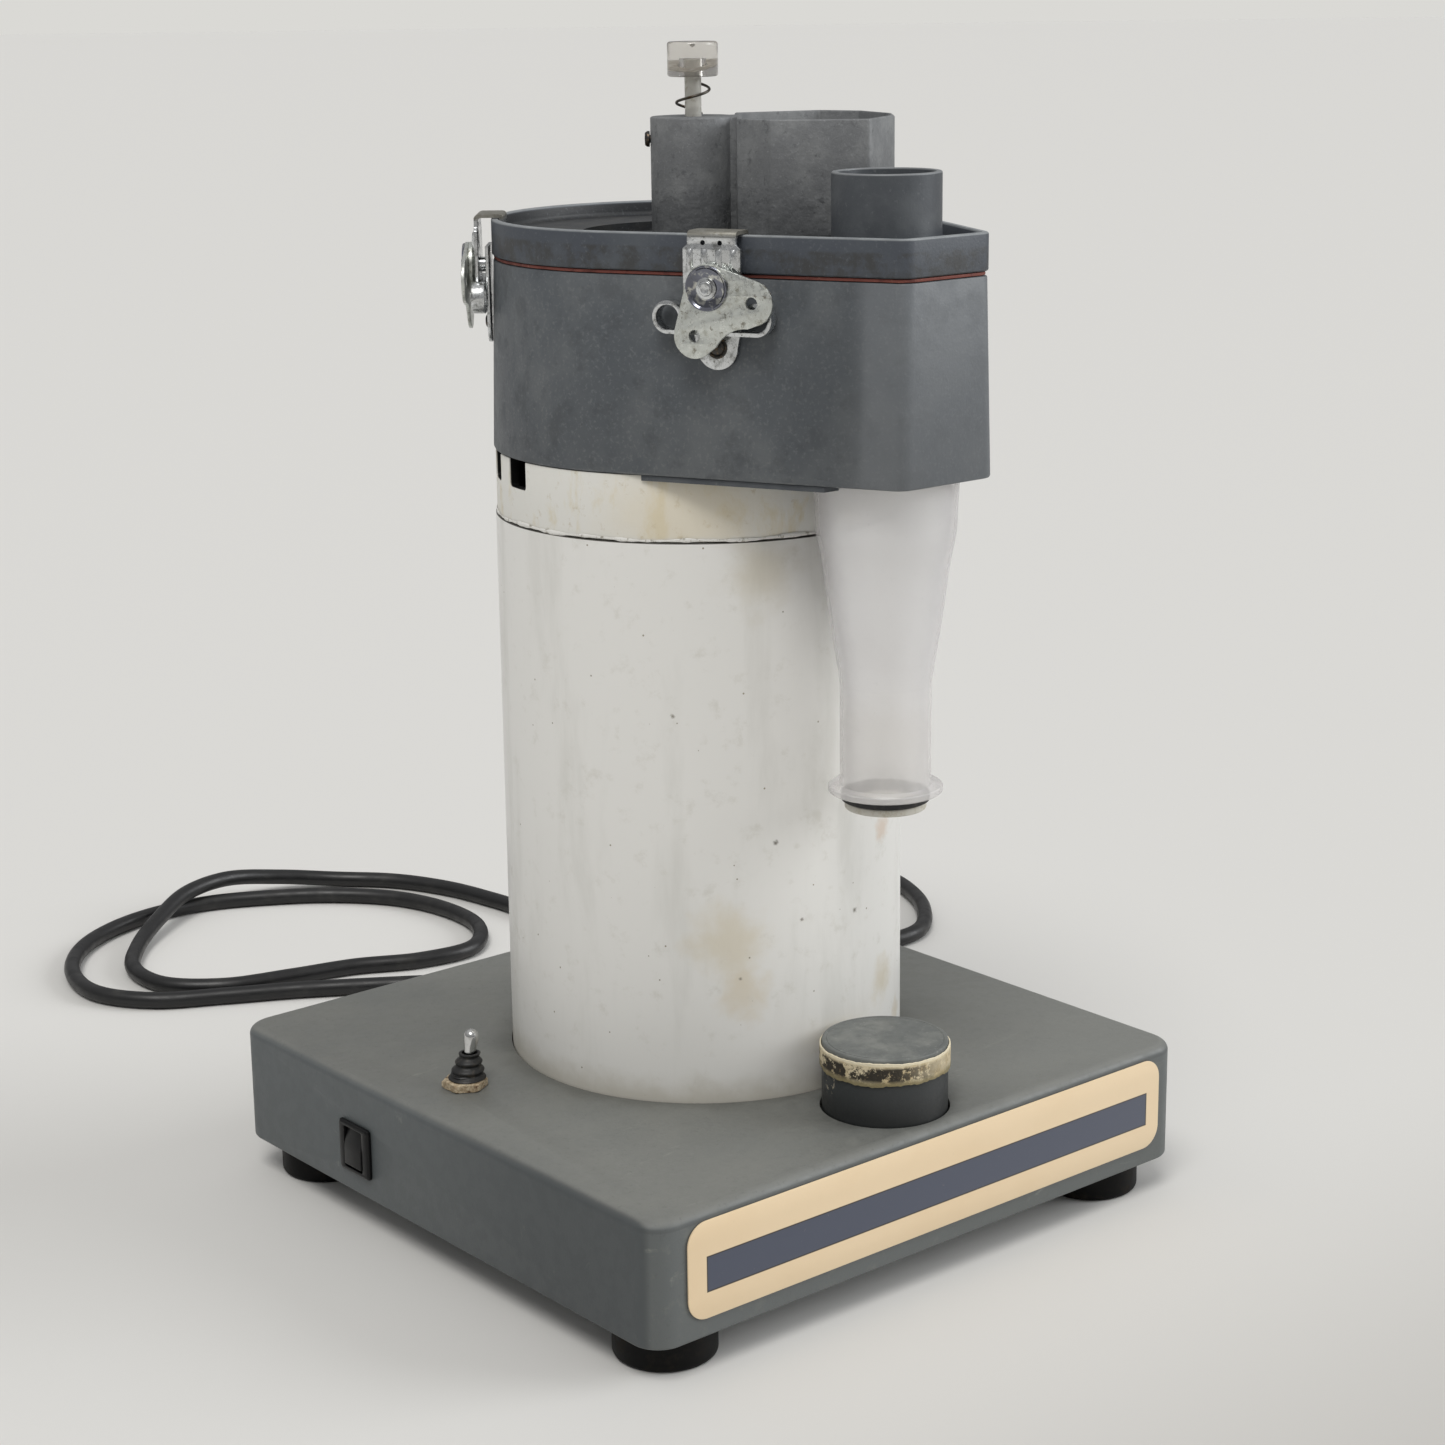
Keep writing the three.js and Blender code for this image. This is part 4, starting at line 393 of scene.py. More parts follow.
class Finish:
    """A procedural finish laid over object coordinates."""

    def __init__(self, name, colour, rough=0.5, metal=0.0, **sockets):
        self.material = bpy.data.materials.new(name)
        self.material.use_nodes = True
        self.nodes = self.material.node_tree.nodes
        self.links = self.material.node_tree.links
        self.surface = self.nodes["Principled BSDF"]
        self.surface.inputs["Base Color"].default_value = tone(*colour)
        self.surface.inputs["Roughness"].default_value = rough
        self.surface.inputs["Metallic"].default_value = metal
        for socket, value in sockets.items():
            self.surface.inputs[socket.replace("_", " ")].default_value = value
        self.place = self.nodes.new("ShaderNodeTexCoord").outputs["Object"]
        self.colour = tone(*colour)
        self.rough = rough

    def feed(self, socket, value):
        """A link or a plain number into a socket."""
        if isinstance(value, bpy.types.NodeSocket):
            self.links.new(value, socket)
        else:
            socket.default_value = value

    def sum(self, operation, a, b=0.0, c=0.0, clamp=False):
        """One sum on masks or numbers."""
        node = self.nodes.new("ShaderNodeMath")
        node.operation = operation
        node.use_clamp = clamp
        for socket, value in zip(node.inputs, (a, b, c)):
            self.feed(socket, value)
        return node.outputs[0]

    def stretched(self, x=1.0, y=1.0, z=1.0, turn=0.0):
        """Coordinates scaled along each axis; less than 1 draws a pattern out along it."""
        node = self.nodes.new("ShaderNodeMapping")
        node.inputs["Scale"].default_value = (x, y, z)
        node.inputs["Rotation"].default_value = (0, 0, turn)
        self.links.new(self.place, node.inputs["Vector"])
        return node.outputs[0]

    def noise(self, size, detail=4.0, rough=0.55, warp=0.0, where=None):
        """Noise whose lumps are about the given size in millimetres."""
        node = self.nodes.new("ShaderNodeTexNoise")
        node.inputs["Scale"].default_value = 1000 / size
        node.inputs["Detail"].default_value = detail
        node.inputs["Roughness"].default_value = rough
        node.inputs["Distortion"].default_value = warp
        self.links.new(where or self.place, node.inputs["Vector"])
        return node.outputs["Fac"]

    def cells(self, size):
        """Distance from the middles of cells whose width is about the given size in millimetres."""
        node = self.nodes.new("ShaderNodeTexVoronoi")
        node.inputs["Scale"].default_value = 1000 / size
        self.links.new(self.place, node.inputs["Vector"])
        return node.outputs["Distance"]

    def step(self, value, low, high):
        """A soft step from 0 at low to 1 at high."""
        node = self.nodes.new("ShaderNodeMapRange")
        node.interpolation_type = "SMOOTHSTEP"
        for socket, number in zip(node.inputs, (value, low, high, 0.0, 1.0)):
            self.feed(socket, number)
        return node.outputs[0]

    def within(self, value, low, full_low, full_high, high):
        """A mask that is 1 from full_low to full_high and fades to 0 at low and high."""
        return self.sum("MULTIPLY", self.step(value, low, full_low), self.step(value, high, full_high))

    def axis(self, name):
        """One coordinate in millimetres."""
        if not hasattr(self, "parts"):
            node = self.nodes.new("ShaderNodeSeparateXYZ")
            self.links.new(self.place, node.inputs[0])
            self.parts = node.outputs
        return self.sum("MULTIPLY", self.parts[name.upper()], 1000.0)

    def spot(self, centre, radius, soft=0.5, ragged=0.6, size=6.0, stretch=(1, 1, 1)):
        """A ragged patch round a point in millimetres."""
        node = self.nodes.new("ShaderNodeVectorMath")
        node.operation = "SUBTRACT"
        self.links.new(self.place, node.inputs[0])
        node.inputs[1].default_value = [c * MM for c in centre]
        squeeze = self.nodes.new("ShaderNodeVectorMath")
        squeeze.operation = "MULTIPLY"
        self.links.new(node.outputs[0], squeeze.inputs[0])
        squeeze.inputs[1].default_value = stretch
        length = self.nodes.new("ShaderNodeVectorMath")
        length.operation = "LENGTH"
        self.links.new(squeeze.outputs[0], length.inputs[0])
        away = self.sum("MULTIPLY", length.outputs["Value"], 1000.0 / radius)
        away = self.sum("MULTIPLY_ADD", self.sum("SUBTRACT", self.noise(size), 0.5), 2 * ragged, away)
        return self.step(away, 1.0, 1.0 - soft)

    def patches(self, grain, low, high):
        """Noise of a grain, given as noise() takes it, as patches with soft edges."""
        return self.step(self.noise(*grain), low, high)

    def tint(self, mask, share, second):
        """The colour so far, mixed towards a second one where a mask lies, by a share of it."""
        return self.blend(self.sum("MULTIPLY", mask, share), second)

    def blend(self, amount, second):
        """The colour so far, mixed towards a second one."""
        node = self.nodes.new("ShaderNodeMix")
        node.data_type = "RGBA"
        ins = [s for s in node.inputs if s.type == "RGBA"]
        self.feed(node.inputs["Factor"], amount)
        self.feed(ins[0], self.colour)
        self.feed(ins[1], tone(*second))
        self.colour = [s for s in node.outputs if s.type == "RGBA"][0]
        self.feed(self.surface.inputs["Base Color"], self.colour)
        return self

    def roughen(self, amount, second):
        """The roughness so far, mixed towards a second one."""
        node = self.nodes.new("ShaderNodeMix")
        node.data_type = "FLOAT"
        ins = [s for s in node.inputs if s.type == "VALUE" and s.name != "Factor"]
        self.feed(node.inputs["Factor"], amount)
        self.feed(ins[0], self.rough)
        self.feed(ins[1], second)
        self.rough = [s for s in node.outputs if s.type == "VALUE"][0]
        self.feed(self.surface.inputs["Roughness"], self.rough)
        return self

    def bump(self, height, depth):
        """Relief of a depth in millimetres, added to what was there."""
        node = self.nodes.new("ShaderNodeBump")
        node.inputs["Strength"].default_value = 1.0
        node.inputs["Distance"].default_value = depth * MM
        self.feed(node.inputs["Height"], height)
        if self.surface.inputs["Normal"].is_linked:
            self.links.new(self.surface.inputs["Normal"].links[0].from_socket, node.inputs["Normal"])
        self.links.new(node.outputs[0], self.surface.inputs["Normal"])
        return self


def finish_plastic():
    """Black moulded plastic with a fine grain."""
    look = Finish("black plastic", (24, 24, 25), 0.42)
    look.roughen(look.patches((2.5,), 0.45, 0.7), 0.55)
    return look.bump(look.noise(0.6, 3), 0.03)


def finish_cord():
    """A black jacket, dusty in patches."""
    look = Finish("cord jacket", (20, 20, 21), 0.38)
    look.blend(look.patches((14, 5), 0.52, 0.78), (44, 43, 41))
    look.roughen(look.patches((9, 4), 0.4, 0.7), 0.52)
    return look.bump(look.noise(1.2, 3), 0.04)


def finish_brass():
    """Plated pins, a little dulled."""
    look = Finish("plated brass", (196, 186, 160), 0.28, 1.0)
    return look.roughen(look.patches((3,), 0.4, 0.75), 0.4)


PLASTIC = finish_plastic().material
CORD = finish_cord().material
BRASS = finish_brass().material


# The cord, its strain relief and its plug
ROUTE = np.array([
    (95, 186.1, 30), (95, 194.1, 30), (94.5, 211, 23.5), (91, 229, 11.5), (82, 246, 5.2), (66, 262, 4.4),
    (44, 279, 4.4), (16, 298, 4.4), (-14, 317, 4.4), (-46, 334, 4.4), (-76, 352, 4.4), (-93, 381, 4.4),
    (-88, 417, 4.4), (-67, 449, 4.4), (-38, 469, 4.4), (-6, 477.5, 4.4), (27, 475, 4.4), (58, 461, 4.4),
    (88, 440, 4.4), (112, 410, 4.4), (122, 373, 4.4), (117, 336, 4.4), (94, 310, 4.4), (62, 312, 4.4),
    (30, 327, 4.4), (-4, 336, 4.4), (-38, 347, 4.4), (-60, 370, 4.4), (-60, 402, 4.4), (-41, 432, 5.4),
    (-15, 455, 9.6), (12, 472, 14.2), (44, 481, 14), (76, 478, 9), (106, 463, 4.9), (130, 438, 4.4),
    (145, 405, 4.4), (152, 368, 4.4), (156, 330, 4.4), (166, 292, 4.4), (186, 248, 4.4),
    (216, 205, 4.4), (252, 172, 4.4), (290, 168, 4.4), (322, 195, 4.4), (342, 232, 4.4),
    (350, 274, 4.4), (352, 312, 4.4), (352, 350, 4.6), (352, 380, 6.4), (352, 395, 7.4), (352, 403, 7.4),
], float)


def threaded(points, steps):
    """A smooth path through points: on each stretch a cubic whose end slopes come from the neighbours,
    with spans counted by the square root of the distance."""
    points = np.concatenate([[2 * points[0] - points[1]], points, [2 * points[-1] - points[-2]]])
    a, b, c, d = points[:-3], points[1:-2], points[2:-1], points[3:]
    before, span, after = (np.sqrt(np.linalg.norm(q - p, axis=1))[:, None]
                           for p, q in ((a, b), (b, c), (c, d)))
    start = ((b - a) / before - (c - a) / (before + span) + (c - b) / span) * span
    end = ((c - b) / span - (d - b) / (span + after) + (d - c) / after) * span
    t = np.linspace(0, 1, steps, endpoint=False)[:, None, None]
    rows = b + start * t + (3 * (c - b) - 2 * start - end) * t ** 2 + (2 * (b - c) + start + end) * t ** 3
    return np.concatenate([rows.transpose(1, 0, 2).reshape(-1, 3), points[-2:-1]])


def make_cord():
    """A round jacket carried along the route."""
    path = threaded(ROUTE, 14)
    cord = link("cord_jacket", wire("cord_jacket", path, CORD_R, 20), "mill", ["cord"], CORD)
    return cord, path


def make_relief():
    """A moulded sleeve about the cord's first direction: radius against distance from the back wall, with
    five grooves where the sleeve flexes."""
    bore, length, clearance = 4.45, 40.0, 0.3
    first, pitch, groove_depth = 8.0, 5.4, 0.9
    profile = [(bore, 0.0), (9.6, 0.0), (10.5, 0.9), (10.5, 2.2), (9.9, 3.0), (8.3, 3.2)]
    for groove in range(5):
        at = first + pitch * groove
        outer = 8.0 - 2.4 * (at - 3) / 37
        profile += [(outer, at), (outer - groove_depth, at + 0.5), (outer - groove_depth, at + 1.7),
                    (outer - 0.1, at + 2.2)]
    profile += [(5.75, length - 0.8), (5.3, length), (bore, length)]
    mesh = lathe("strain_sleeve", eased(profile, 0.35, 3), 40, (0, 0), endless=True)
    moved(mesh, shift(CORD_X, BASE_HALF + clearance, CORD_LEVEL) @ turned(-90, "X"))
    return link("strain_sleeve", mesh, "mill", ["strain_relief"], PLASTIC)


def make_plug():
    """A moulded plug: rounded sections that swell from the cord's neck to the grip and end in a flat face,
    with two blades that taper at their tips."""
    blade_x, half_thick, half_wide, tip_shares = 6.35, 0.75, 3.2, (0.55, 0.85)
    stations = [(0.3, 4.9, 4.9, 4.8), (4, 5.3, 5.2, 5.0), (9, 5.6, 5.4, 5.2), (13, 6.2, 5.8, 5.4),
                (17, 9.4, 6.6, 5.2), (21, 12.0, 6.9, 4.6), (27, 12.6, 7.0, 4.2), (33, 12.0, 6.9, 4.2),
                (37, 12.6, 7.0, 4.0), (40.6, 13.0, 7.0, 3.4), (41.7, 12.6, 6.6, 3.2), (42.0, 11.9, 5.9, 2.9)]
    rings = [lifted(square(half_x, half_y, corner, steps=6), level)
             for level, half_x, half_y, corner in stations]
    place = shift(*PLUG_AT) @ turned(-90, "X")
    grip = link("plug_grip", moved(skin("plug_grip", np.stack(rings)), place), "mill", ["cord_plug"],
                PLASTIC)
    pins = []
    for x in (-blade_x, blade_x):
        outline = square(half_thick, half_wide, 0.2, (x, 0.0), 2)
        middle = outline.mean(0)
        tip = middle + (outline - middle) * tip_shares
        pins.append(loft("blade", [(outline, 41), (outline, 56.6), (tip, 57.8)]))
    pins = joined("plug_pins", pins)
    blades = link("plug_pins", moved(pins, place), "mill", (), BRASS)
    return grip, blades


CORD_PIECE, CORD_PATH = make_cord()
RELIEF = make_relief()
GRIP, PINS = make_plug()


# Finishes of the base
def finish_base():
    """Grey paint, dusty on top with a painted lighter top, scuffed, worn at the edges, with a painted dark
    reflection under the top edge, painted shade round the tube, round the pedestal and on the left side, and
    a painted sheen on the right of the top.
    """
    look = Finish("base paint", (95, 99, 99), 0.47, 0.0)
    broad, fine = look.noise(60, 5), look.noise(7, 6, 0.62)
    look.blend(look.step(broad, 0.42, 0.7), (94, 98, 97))
    # Dust and painted light: the top band is lighter, partly as dust and partly as light falling from above.
    dust = look.step(look.axis("z"), BASE_TOP - 3.2, BASE_TOP - 0.4)
    look.tint(dust, look.sum("ADD", look.noise(38, 6, 0.6), 0.4, clamp=True), (117, 118, 114))
    look.tint(look.step(fine, 0.52, 0.74), 0.3, (126, 127, 121))
    look.tint(look.patches((2.2, 5, 0.7), 0.56, 0.72), 0.35, (74, 77, 74))
    scuffs = look.noise(9, 6, 0.7, 0.6, look.stretched(0.18, 1.0, 1.0, 0.5))
    look.tint(look.step(scuffs, 0.62, 0.74), 0.5, (150, 151, 143))
    side = look.sum("MAXIMUM", look.sum("ABSOLUTE", look.axis("x")), look.sum("ABSOLUTE", look.axis("y")))
    above = look.sum("SUBTRACT", look.axis("z"), BASE_HALF + BASE_TOP)
    edge = look.step(look.sum("ADD", side, above), -4.6, -2.4)
    worn = look.sum("MULTIPLY", edge, look.patches((26, 6, 0.7), 0.42, 0.66))
    look.tint(worn, 0.12, (150, 152, 148))
    # Painted dark reflection in a band just under the rounded top edge.
    brim = look.sum("MULTIPLY", look.step(look.axis("z"), BASE_TOP - 4.6, BASE_TOP - 3.9),
                    look.step(look.axis("z"), BASE_TOP - 2.2, BASE_TOP - 2.9))
    look.tint(brim, 0.35, (68, 70, 71))
    # Painted shade: the whole left side darker and bluer.
    look.tint(look.step(look.axis("x"), -143.5, -145.0), 0.4, (78, 85, 90))
    # Painted shade on the top round the tube's foot.
    tube_foot_shade = look.spot((AXIS_X, 0, BASE_TOP), 97, 0.16, 0.1, 14, (1, 1, 0.2))
    look.tint(tube_foot_shade, 0.45, (72, 73, 68))
    # Painted shade on the top round the pedestal, under the cyclone.
    look.tint(look.spot((AXIS_X, BOTTLE_Y, BASE_TOP), 35, 0.4, 0.25, 9), 0.4, (66, 67, 63))
    # Painted sheen on the right part of the top.
    right = look.sum("MULTIPLY", look.step(look.axis("x"), 10.0, 120.0),
                     look.step(look.axis("z"), 66.0, 67.0))
    look.tint(right, 0.5, (126, 127, 123))
    shade = look.sum("MULTIPLY", look.step(look.axis("y"), 40.0, -100.0),
                     look.step(look.axis("x"), -142.5, -144.5))
    look.tint(shade, 0.6, (60, 64, 66))
    look.roughen(look.step(fine, 0.4, 0.7), 0.62)
    look.bump(look.noise(0.9, 4), 0.06)
    return look.bump(broad, 0.25)


def finish_foot():
    """Black rubber with brown dust."""
    look = Finish("foot rubber", (9, 9, 9), 0.5, Specular_IOR_Level=0.14)
    dust = look.patches((8, 6, 0.65), 0.5, 0.72)
    look.tint(dust, 0.3, (62, 54, 45))
    look.roughen(dust, 0.7)
    return look.bump(look.noise(1.5, 4), 0.05)


def finish_label():
    """A cream sheet with one plain stripe in a thin dark frame."""
    look = Finish("label", (233, 210, 175), 0.42)
    look.tint(look.patches((40, 5), 0.4, 0.72), 0.5, (228, 203, 166))
    look.tint(look.patches((3, 6, 0.7), 0.62, 0.78), 0.2, (204, 182, 150))
    x, z = look.axis("x"), look.axis("z")
    left, right, low, high = -120.0, 123.6, 34.6, 48.5

    def stripe(grow):
        """The stripe's rectangle, grown on every side."""
        return look.sum("MULTIPLY",
                        look.within(x, left - grow, left + 0.4 - grow, right - 0.4 + grow, right + grow),
                        look.within(z, low - grow, low + 0.3 - grow, high - 0.3 + grow, high + grow))

    look.blend(stripe(0.55), (58, 55, 52))
    look.blend(stripe(0.0), (77, 82, 97))
    look.tint(look.patches((2.4, 6, 0.7), 0.64, 0.76), 0.4, (190, 176, 150))
    return look.bump(look.noise(1.2, 3), 0.02)


def finish_rocker():
    """Black gloss with a few pale specks."""
    look = Finish("rocker gloss", (13, 13, 14), 0.28, Specular_IOR_Level=0.25)
    look.roughen(look.patches((3, 5), 0.45, 0.7), 0.34)
    look.tint(look.patches((1.6, 5), 0.62, 0.75), 0.35, (90, 84, 74))
    return look


def finish_nut():
    """A nut eaten by rust under pale crusts."""
    look = Finish("corroded nut", (158, 138, 110), 0.8)
    look.blend(look.patches((1.8, 6, 0.7), 0.42, 0.6), (203, 187, 158))
    look.blend(look.patches((2.6, 6, 0.75), 0.56, 0.66), (92, 66, 44))
    look.blend(look.patches((1.1, 5, 0.7), 0.6, 0.7), (226, 220, 205))
    return look.bump(look.noise(0.8, 6, 0.75, 0.5), 0.5)


def finish_chrome():
    """Chrome, fogged and speckled."""
    look = Finish("chrome", (206, 206, 205), 0.12, 1.0)
    look.roughen(look.patches((2, 5), 0.45, 0.75), 0.32)
    return look.tint(look.patches((1.2, 5), 0.6, 0.75), 0.4, (140, 128, 110))


def finish_boot():
    """Black rubber with brown dust."""
    look = Finish("boot rubber", (20, 20, 20), 0.5)
    look.tint(look.patches((2.2, 6, 0.7), 0.5, 0.7), 0.45, (86, 78, 66))
    return look.bump(look.noise(0.7, 4), 0.06)


def finish_pedestal():
    """Grey paint on top and a dark sleeve with a scrap of torn paper."""
    look = Finish("pedestal", (96, 99, 97), 0.45)
    look.blend(look.patches((12, 6), 0.42, 0.68), (116, 118, 114))
    look.tint(look.patches((2, 6, 0.7), 0.54, 0.7), 0.5, (146, 147, 142))
    look.blend(look.step(look.axis("z"), 85.4, 84.4), (46, 49, 50))
    look.blend(look.step(look.axis("z"), 82.0, 69.0), (30, 32, 32))
    patch = look.spot((-22.9, -107.2, 81.5), 5.5, 0.5, 0.2, 4, (1, 1, 0.8))
    torn = look.patches((2.6, 6, 0.75), 0.56, 0.6)
    look.tint(patch, torn, (188, 178, 156))
    look.roughen(look.patches((4, 5), 0.4, 0.7), 0.62)
    return look.bump(look.noise(1.0, 4), 0.05)


def finish_band():
    """Cream paper, olive along its foot and torn to the dark sleeve."""
    look = Finish("paper band", (216, 202, 170), 0.8)
    look.blend(look.patches((6, 6, 0.65), 0.46, 0.64), (196, 178, 140))
    height = look.axis("z")
    low = look.step(look.sum("MULTIPLY_ADD", look.noise(3, 6, 0.7), 5.0, height), 90.6, 87.8)
    look.tint(low, 0.85, (116, 106, 70))
    middle = look.within(height, 85.4, 87.4, 91.6, 93.2)
    left = look.sum("MULTIPLY_ADD", look.step(look.axis("x"), 12.0, -14.0), 0.75, 0.25)
    torn = look.sum("MULTIPLY", look.patches((5.5, 6, 0.75), 0.44, 0.5), middle)
    look.tint(torn, left, (48, 43, 34))
    look.tint(look.patches((1.2, 5), 0.58, 0.7), 0.5, (150, 128, 96))
    look.tint(look.step(height, 92.9, 93.4), 0.8, (232, 222, 196))
    return look.bump(look.noise(1.4, 6, 0.7), 0.4)


def finish_tube():
    """White pipe with drawn-out streaks, a grimy foot, stains, specks and a painted shade line at the seam.
    """
    look = Finish("white pipe", (233, 232, 228), 0.34)
    streaks = look.noise(26, 5, 0.6, 0.2, look.stretched(1.0, 1.0, 0.22))
    look.tint(look.step(streaks, 0.46, 0.7), 0.55, (211, 210, 204))
    look.tint(look.patches((9, 6, 0.66), 0.54, 0.74), 0.35, (200, 197, 186))
    foot = look.step(look.sum("MULTIPLY_ADD", look.noise(12, 5), 16.0, look.axis("z")), 90.0, 75.0)
    look.tint(foot, 0.6, (190, 184, 168))
    stains = (
        ((33, -78, 104), 13, (196, 178, 132), 0.4), ((48, -69, 84), 8, (190, 170, 124), 0.4),
        ((-30.8, -77.3, 288), 22, (196, 186, 160), 0.45), ((-43.7, -70.4, 136), 22, (206, 190, 150), 0.42),
        ((-38.7, -73.5, 113), 15, (208, 190, 152), 0.42), ((33.5, -77.9, 170), 8, (206, 176, 146), 0.5),
        ((82, -16, 160), 26, (206, 196, 160), 0.5), ((-26, -79, 176), 1.6, (96, 90, 80), 0.9),
        ((13, -83, 140), 1.8, (104, 96, 84), 0.9), ((-15, -82, 142), 1.2, (110, 100, 86), 0.9),
        ((-40, -73, 120), 1.0, (120, 110, 96), 0.8), ((-60, -57, 230), 1.3, (120, 112, 98), 0.8))
    for place, radius, shade, amount in stains:
        rag = look.spot(place, radius, 0.9, 0.6, radius * 0.6)
        look.tint(rag, amount, shade)
    look.blend(look.step(look.cells(9), 0.05, 0.035), (150, 142, 126))
    # Painted shade in the seam under the collar.
    look.blend(look.step(look.axis("z"), TUBE_TOP - 0.5, TUBE_TOP - 0.3), (60, 57, 50))
    look.roughen(look.step(streaks, 0.4, 0.7), 0.46)
    return look.bump(look.noise(30, 3), 0.12)


def finish_collar():
    """White with yellow stains and a wash of cream; painted shade makes it black inside but for its outer
    skin, so its slots look dark.
    """
    look = Finish("collar", (232, 231, 225), 0.42)
    stain = look.noise(16, 6, 0.66, 0.4, look.stretched(1.0, 1.0, 0.5))
    look.tint(look.step(stain, 0.5, 0.68), 0.7, (218, 207, 176))
    look.tint(look.patches((5, 6, 0.7), 0.58, 0.72), 0.5, (184, 168, 132))
    wash = look.spot((-55, -61, 312), 45, 0.8, 0.3, 20, (1, 1, 1.4))
    look.tint(wash, 0.5, (230, 216, 184))
    low = look.step(look.sum("MULTIPLY_ADD", look.noise(5, 5), 7.0, look.axis("z")), 305.4, 302.6)
    look.tint(low, 0.7, (234, 233, 228))
    # Painted shade: black for all but the outermost skin, so the slots look dark inside.
    out = look.sum("POWER", look.sum("SUBTRACT", look.axis("x"), AXIS_X), 2.0)
    out = look.sum("SQRT", look.sum("ADD", out, look.sum("POWER", look.axis("y"), 2.0)))
    look.blend(look.step(out, 83.2, 82.9), (10, 10, 10))
    return look.bump(look.noise(3, 5), 0.12)


def finish_glue():
    """A white thread of glue with grey patches."""
    look = Finish("glue seam", (232, 231, 226), 0.6)
    look.blend(look.patches((2.5, 5), 0.52, 0.66), (168, 164, 152))
    return look.bump(look.noise(1.0, 5), 0.2)


BASE, FOOT, LABEL = finish_base().material, finish_foot().material, finish_label().material
ROCKER, NUT = finish_rocker().material, finish_nut().material
CHROME, BOOT = finish_chrome().material, finish_boot().material
PEDESTAL, BAND = finish_pedestal().material, finish_band().material
TUBE, COLLAR, GLUE = finish_tube().material, finish_collar().material, finish_glue().material


# Base
def make_base():
    """Round-cornered squares stacked up the sides and drawn in over a quarter round at the top; the
    inside and the openings are cut away."""
    corner, hem, brim = 12.0, 1.5, 4.0
    inside_low, cut_low, cut_high = 5.0, 55.0, 80.0

    def ring(inset, level):
        return square(BASE_HALF - inset, BASE_HALF - inset, corner - inset / 2, steps=12), level

    turn = np.linspace(0, math.pi / 2, 9)
    rings = [ring(hem * (1 - math.sin(t)), BASE_LOW + hem * (1 - math.cos(t))) for t in turn[::2]]
    rings += [ring(brim * (1 - math.cos(t)), BASE_TOP - brim * (1 - math.sin(t))) for t in turn]
    room = square(BASE_HALF - BASE_WALL, BASE_HALF - BASE_WALL, corner - BASE_WALL)
    cuts = [
        loft("inside", [(room, inside_low), (room, BASE_TOP - BASE_WALL)]),
        rod("tube_hole", TUBE_R + 0.4, cut_low, cut_high, sides=160),
        rod("pedestal_hole", PEDESTAL_R + 0.8, cut_low, cut_high, BOTTLE_AXIS),
        rod("toggle_hole", BUSHING_R + 0.4, cut_low, cut_high, TOGGLE_AT, 40),
        brick("rocker_hole", (-BASE_HALF - 9.5, ROCKER_Y - 9.6, ROCKER_LEVEL - 9.85),
              (-BASE_HALF + 10.5, ROCKER_Y + 9.6, ROCKER_LEVEL + 9.85)),
        moved(rod("cord_hole", 6.9, -8, 8, (0, 0), 40),
              shift(CORD_X, BASE_HALF, CORD_LEVEL) @ turned(90, "X")),
    ]
    mesh = bevelled(worked(loft("housing", rings), cuts), 0.35, 50, 2)
    link("housing", mesh, "mill", ["base_housing"], BASE, 40)


def make_feet():
    """A moulded foot's profile, radius against level, with a hollow for the fixing screw below."""
    radius, height, hollow, roof, reach = 20.6, 15.1, 5.2, 2.6, 119
    profile = eased([(0, roof), (hollow, roof), (hollow, 0), (radius, 0), (radius, height), (0, height)],
                    (0, 0.5, 0.8, 2.4, 0.8, 0), 5, False)
    for end, y in (("front", -reach), ("back", reach)):
        for side, x in (("left", -reach), ("right", reach)):
            foot = f"foot_{end}_{side}"
            mesh = lathe(foot + "_rubber", profile, 72, (x, y))
            link(mesh.name, mesh, "mill", [foot], FOOT)


def make_label():
    """A thin round-cornered sheet, stood up against the front."""
    half_length, half_height, corner = 130.5, 19.8, 9.0
    sheet = plate("front_label", [square(half_length, half_height, corner, steps=10)], 0.3, 1.0, 0.15)
    moved(sheet, shift(LABEL_X, -BASE_HALF, LABEL_LEVEL) @ turned(90, "X"))
    link("front_label", sheet, "mill", ["label_plate"], LABEL)


def make_rocker():
    """A frame of stacked round-cornered squares with a window, and a button whose face is two gentle
    slopes meeting in a soft ridge."""
    neck, flange, window = (9.1, 9.4), (11.0, 11.25), (6.6, 9.1)
    rings = [(square(*neck, 1.2), level) for level in (-12.9, 0.1)]
    rings += [(square(flange[0] - inset, flange[1] - inset, corner), level) for inset, corner, level in (
        (0.0, 1.6, 0.3), (0.0, 1.6, 1.4), (0.3, 1.5, 1.9), (1.1, 1.2, 2.3))]
    opening = square(*window, 0.8)
    bezel = worked(loft("frame", rings), [loft("window", [(opening, -7.2), (opening, 8)])])
    stand = Matrix(((0, 0, -1, 0), (-1, 0, 0, 0), (0, 1, 0, 0), (0, 0, 0, 1)))
    moved(bezel, shift(-BASE_HALF, ROCKER_Y, ROCKER_LEVEL) @ stand)
    link("switch_frame", bevelled(bezel, 0.25, 50), "mill", ["rocker_bezel"], ROCKER)

    ridge, end, shoulder, half, back, heel = 5.5, 4.29, 0, 8.6, -3, 3.4
    outline = eased([(ridge, 0), (end, half), (shoulder, half), (back, heel), (back, -heel),
                     (shoulder, -half), (end, -half)], (14, 0.7, 1, 1, 1, 1, 0.7), 8)
    button = bevelled(loft("button", [(outline, -6.2), (outline, 6.2)]), 0.45, 50, 3)
    moved(button, shift(-BASE_HALF + 2.7, ROCKER_Y, ROCKER_LEVEL) @ turned(8, "Y")
          @ turned(180, "Z") @ turned(90, "X"))
    link("switch_button", button, "rocker", ["rocker_button"], ROCKER)


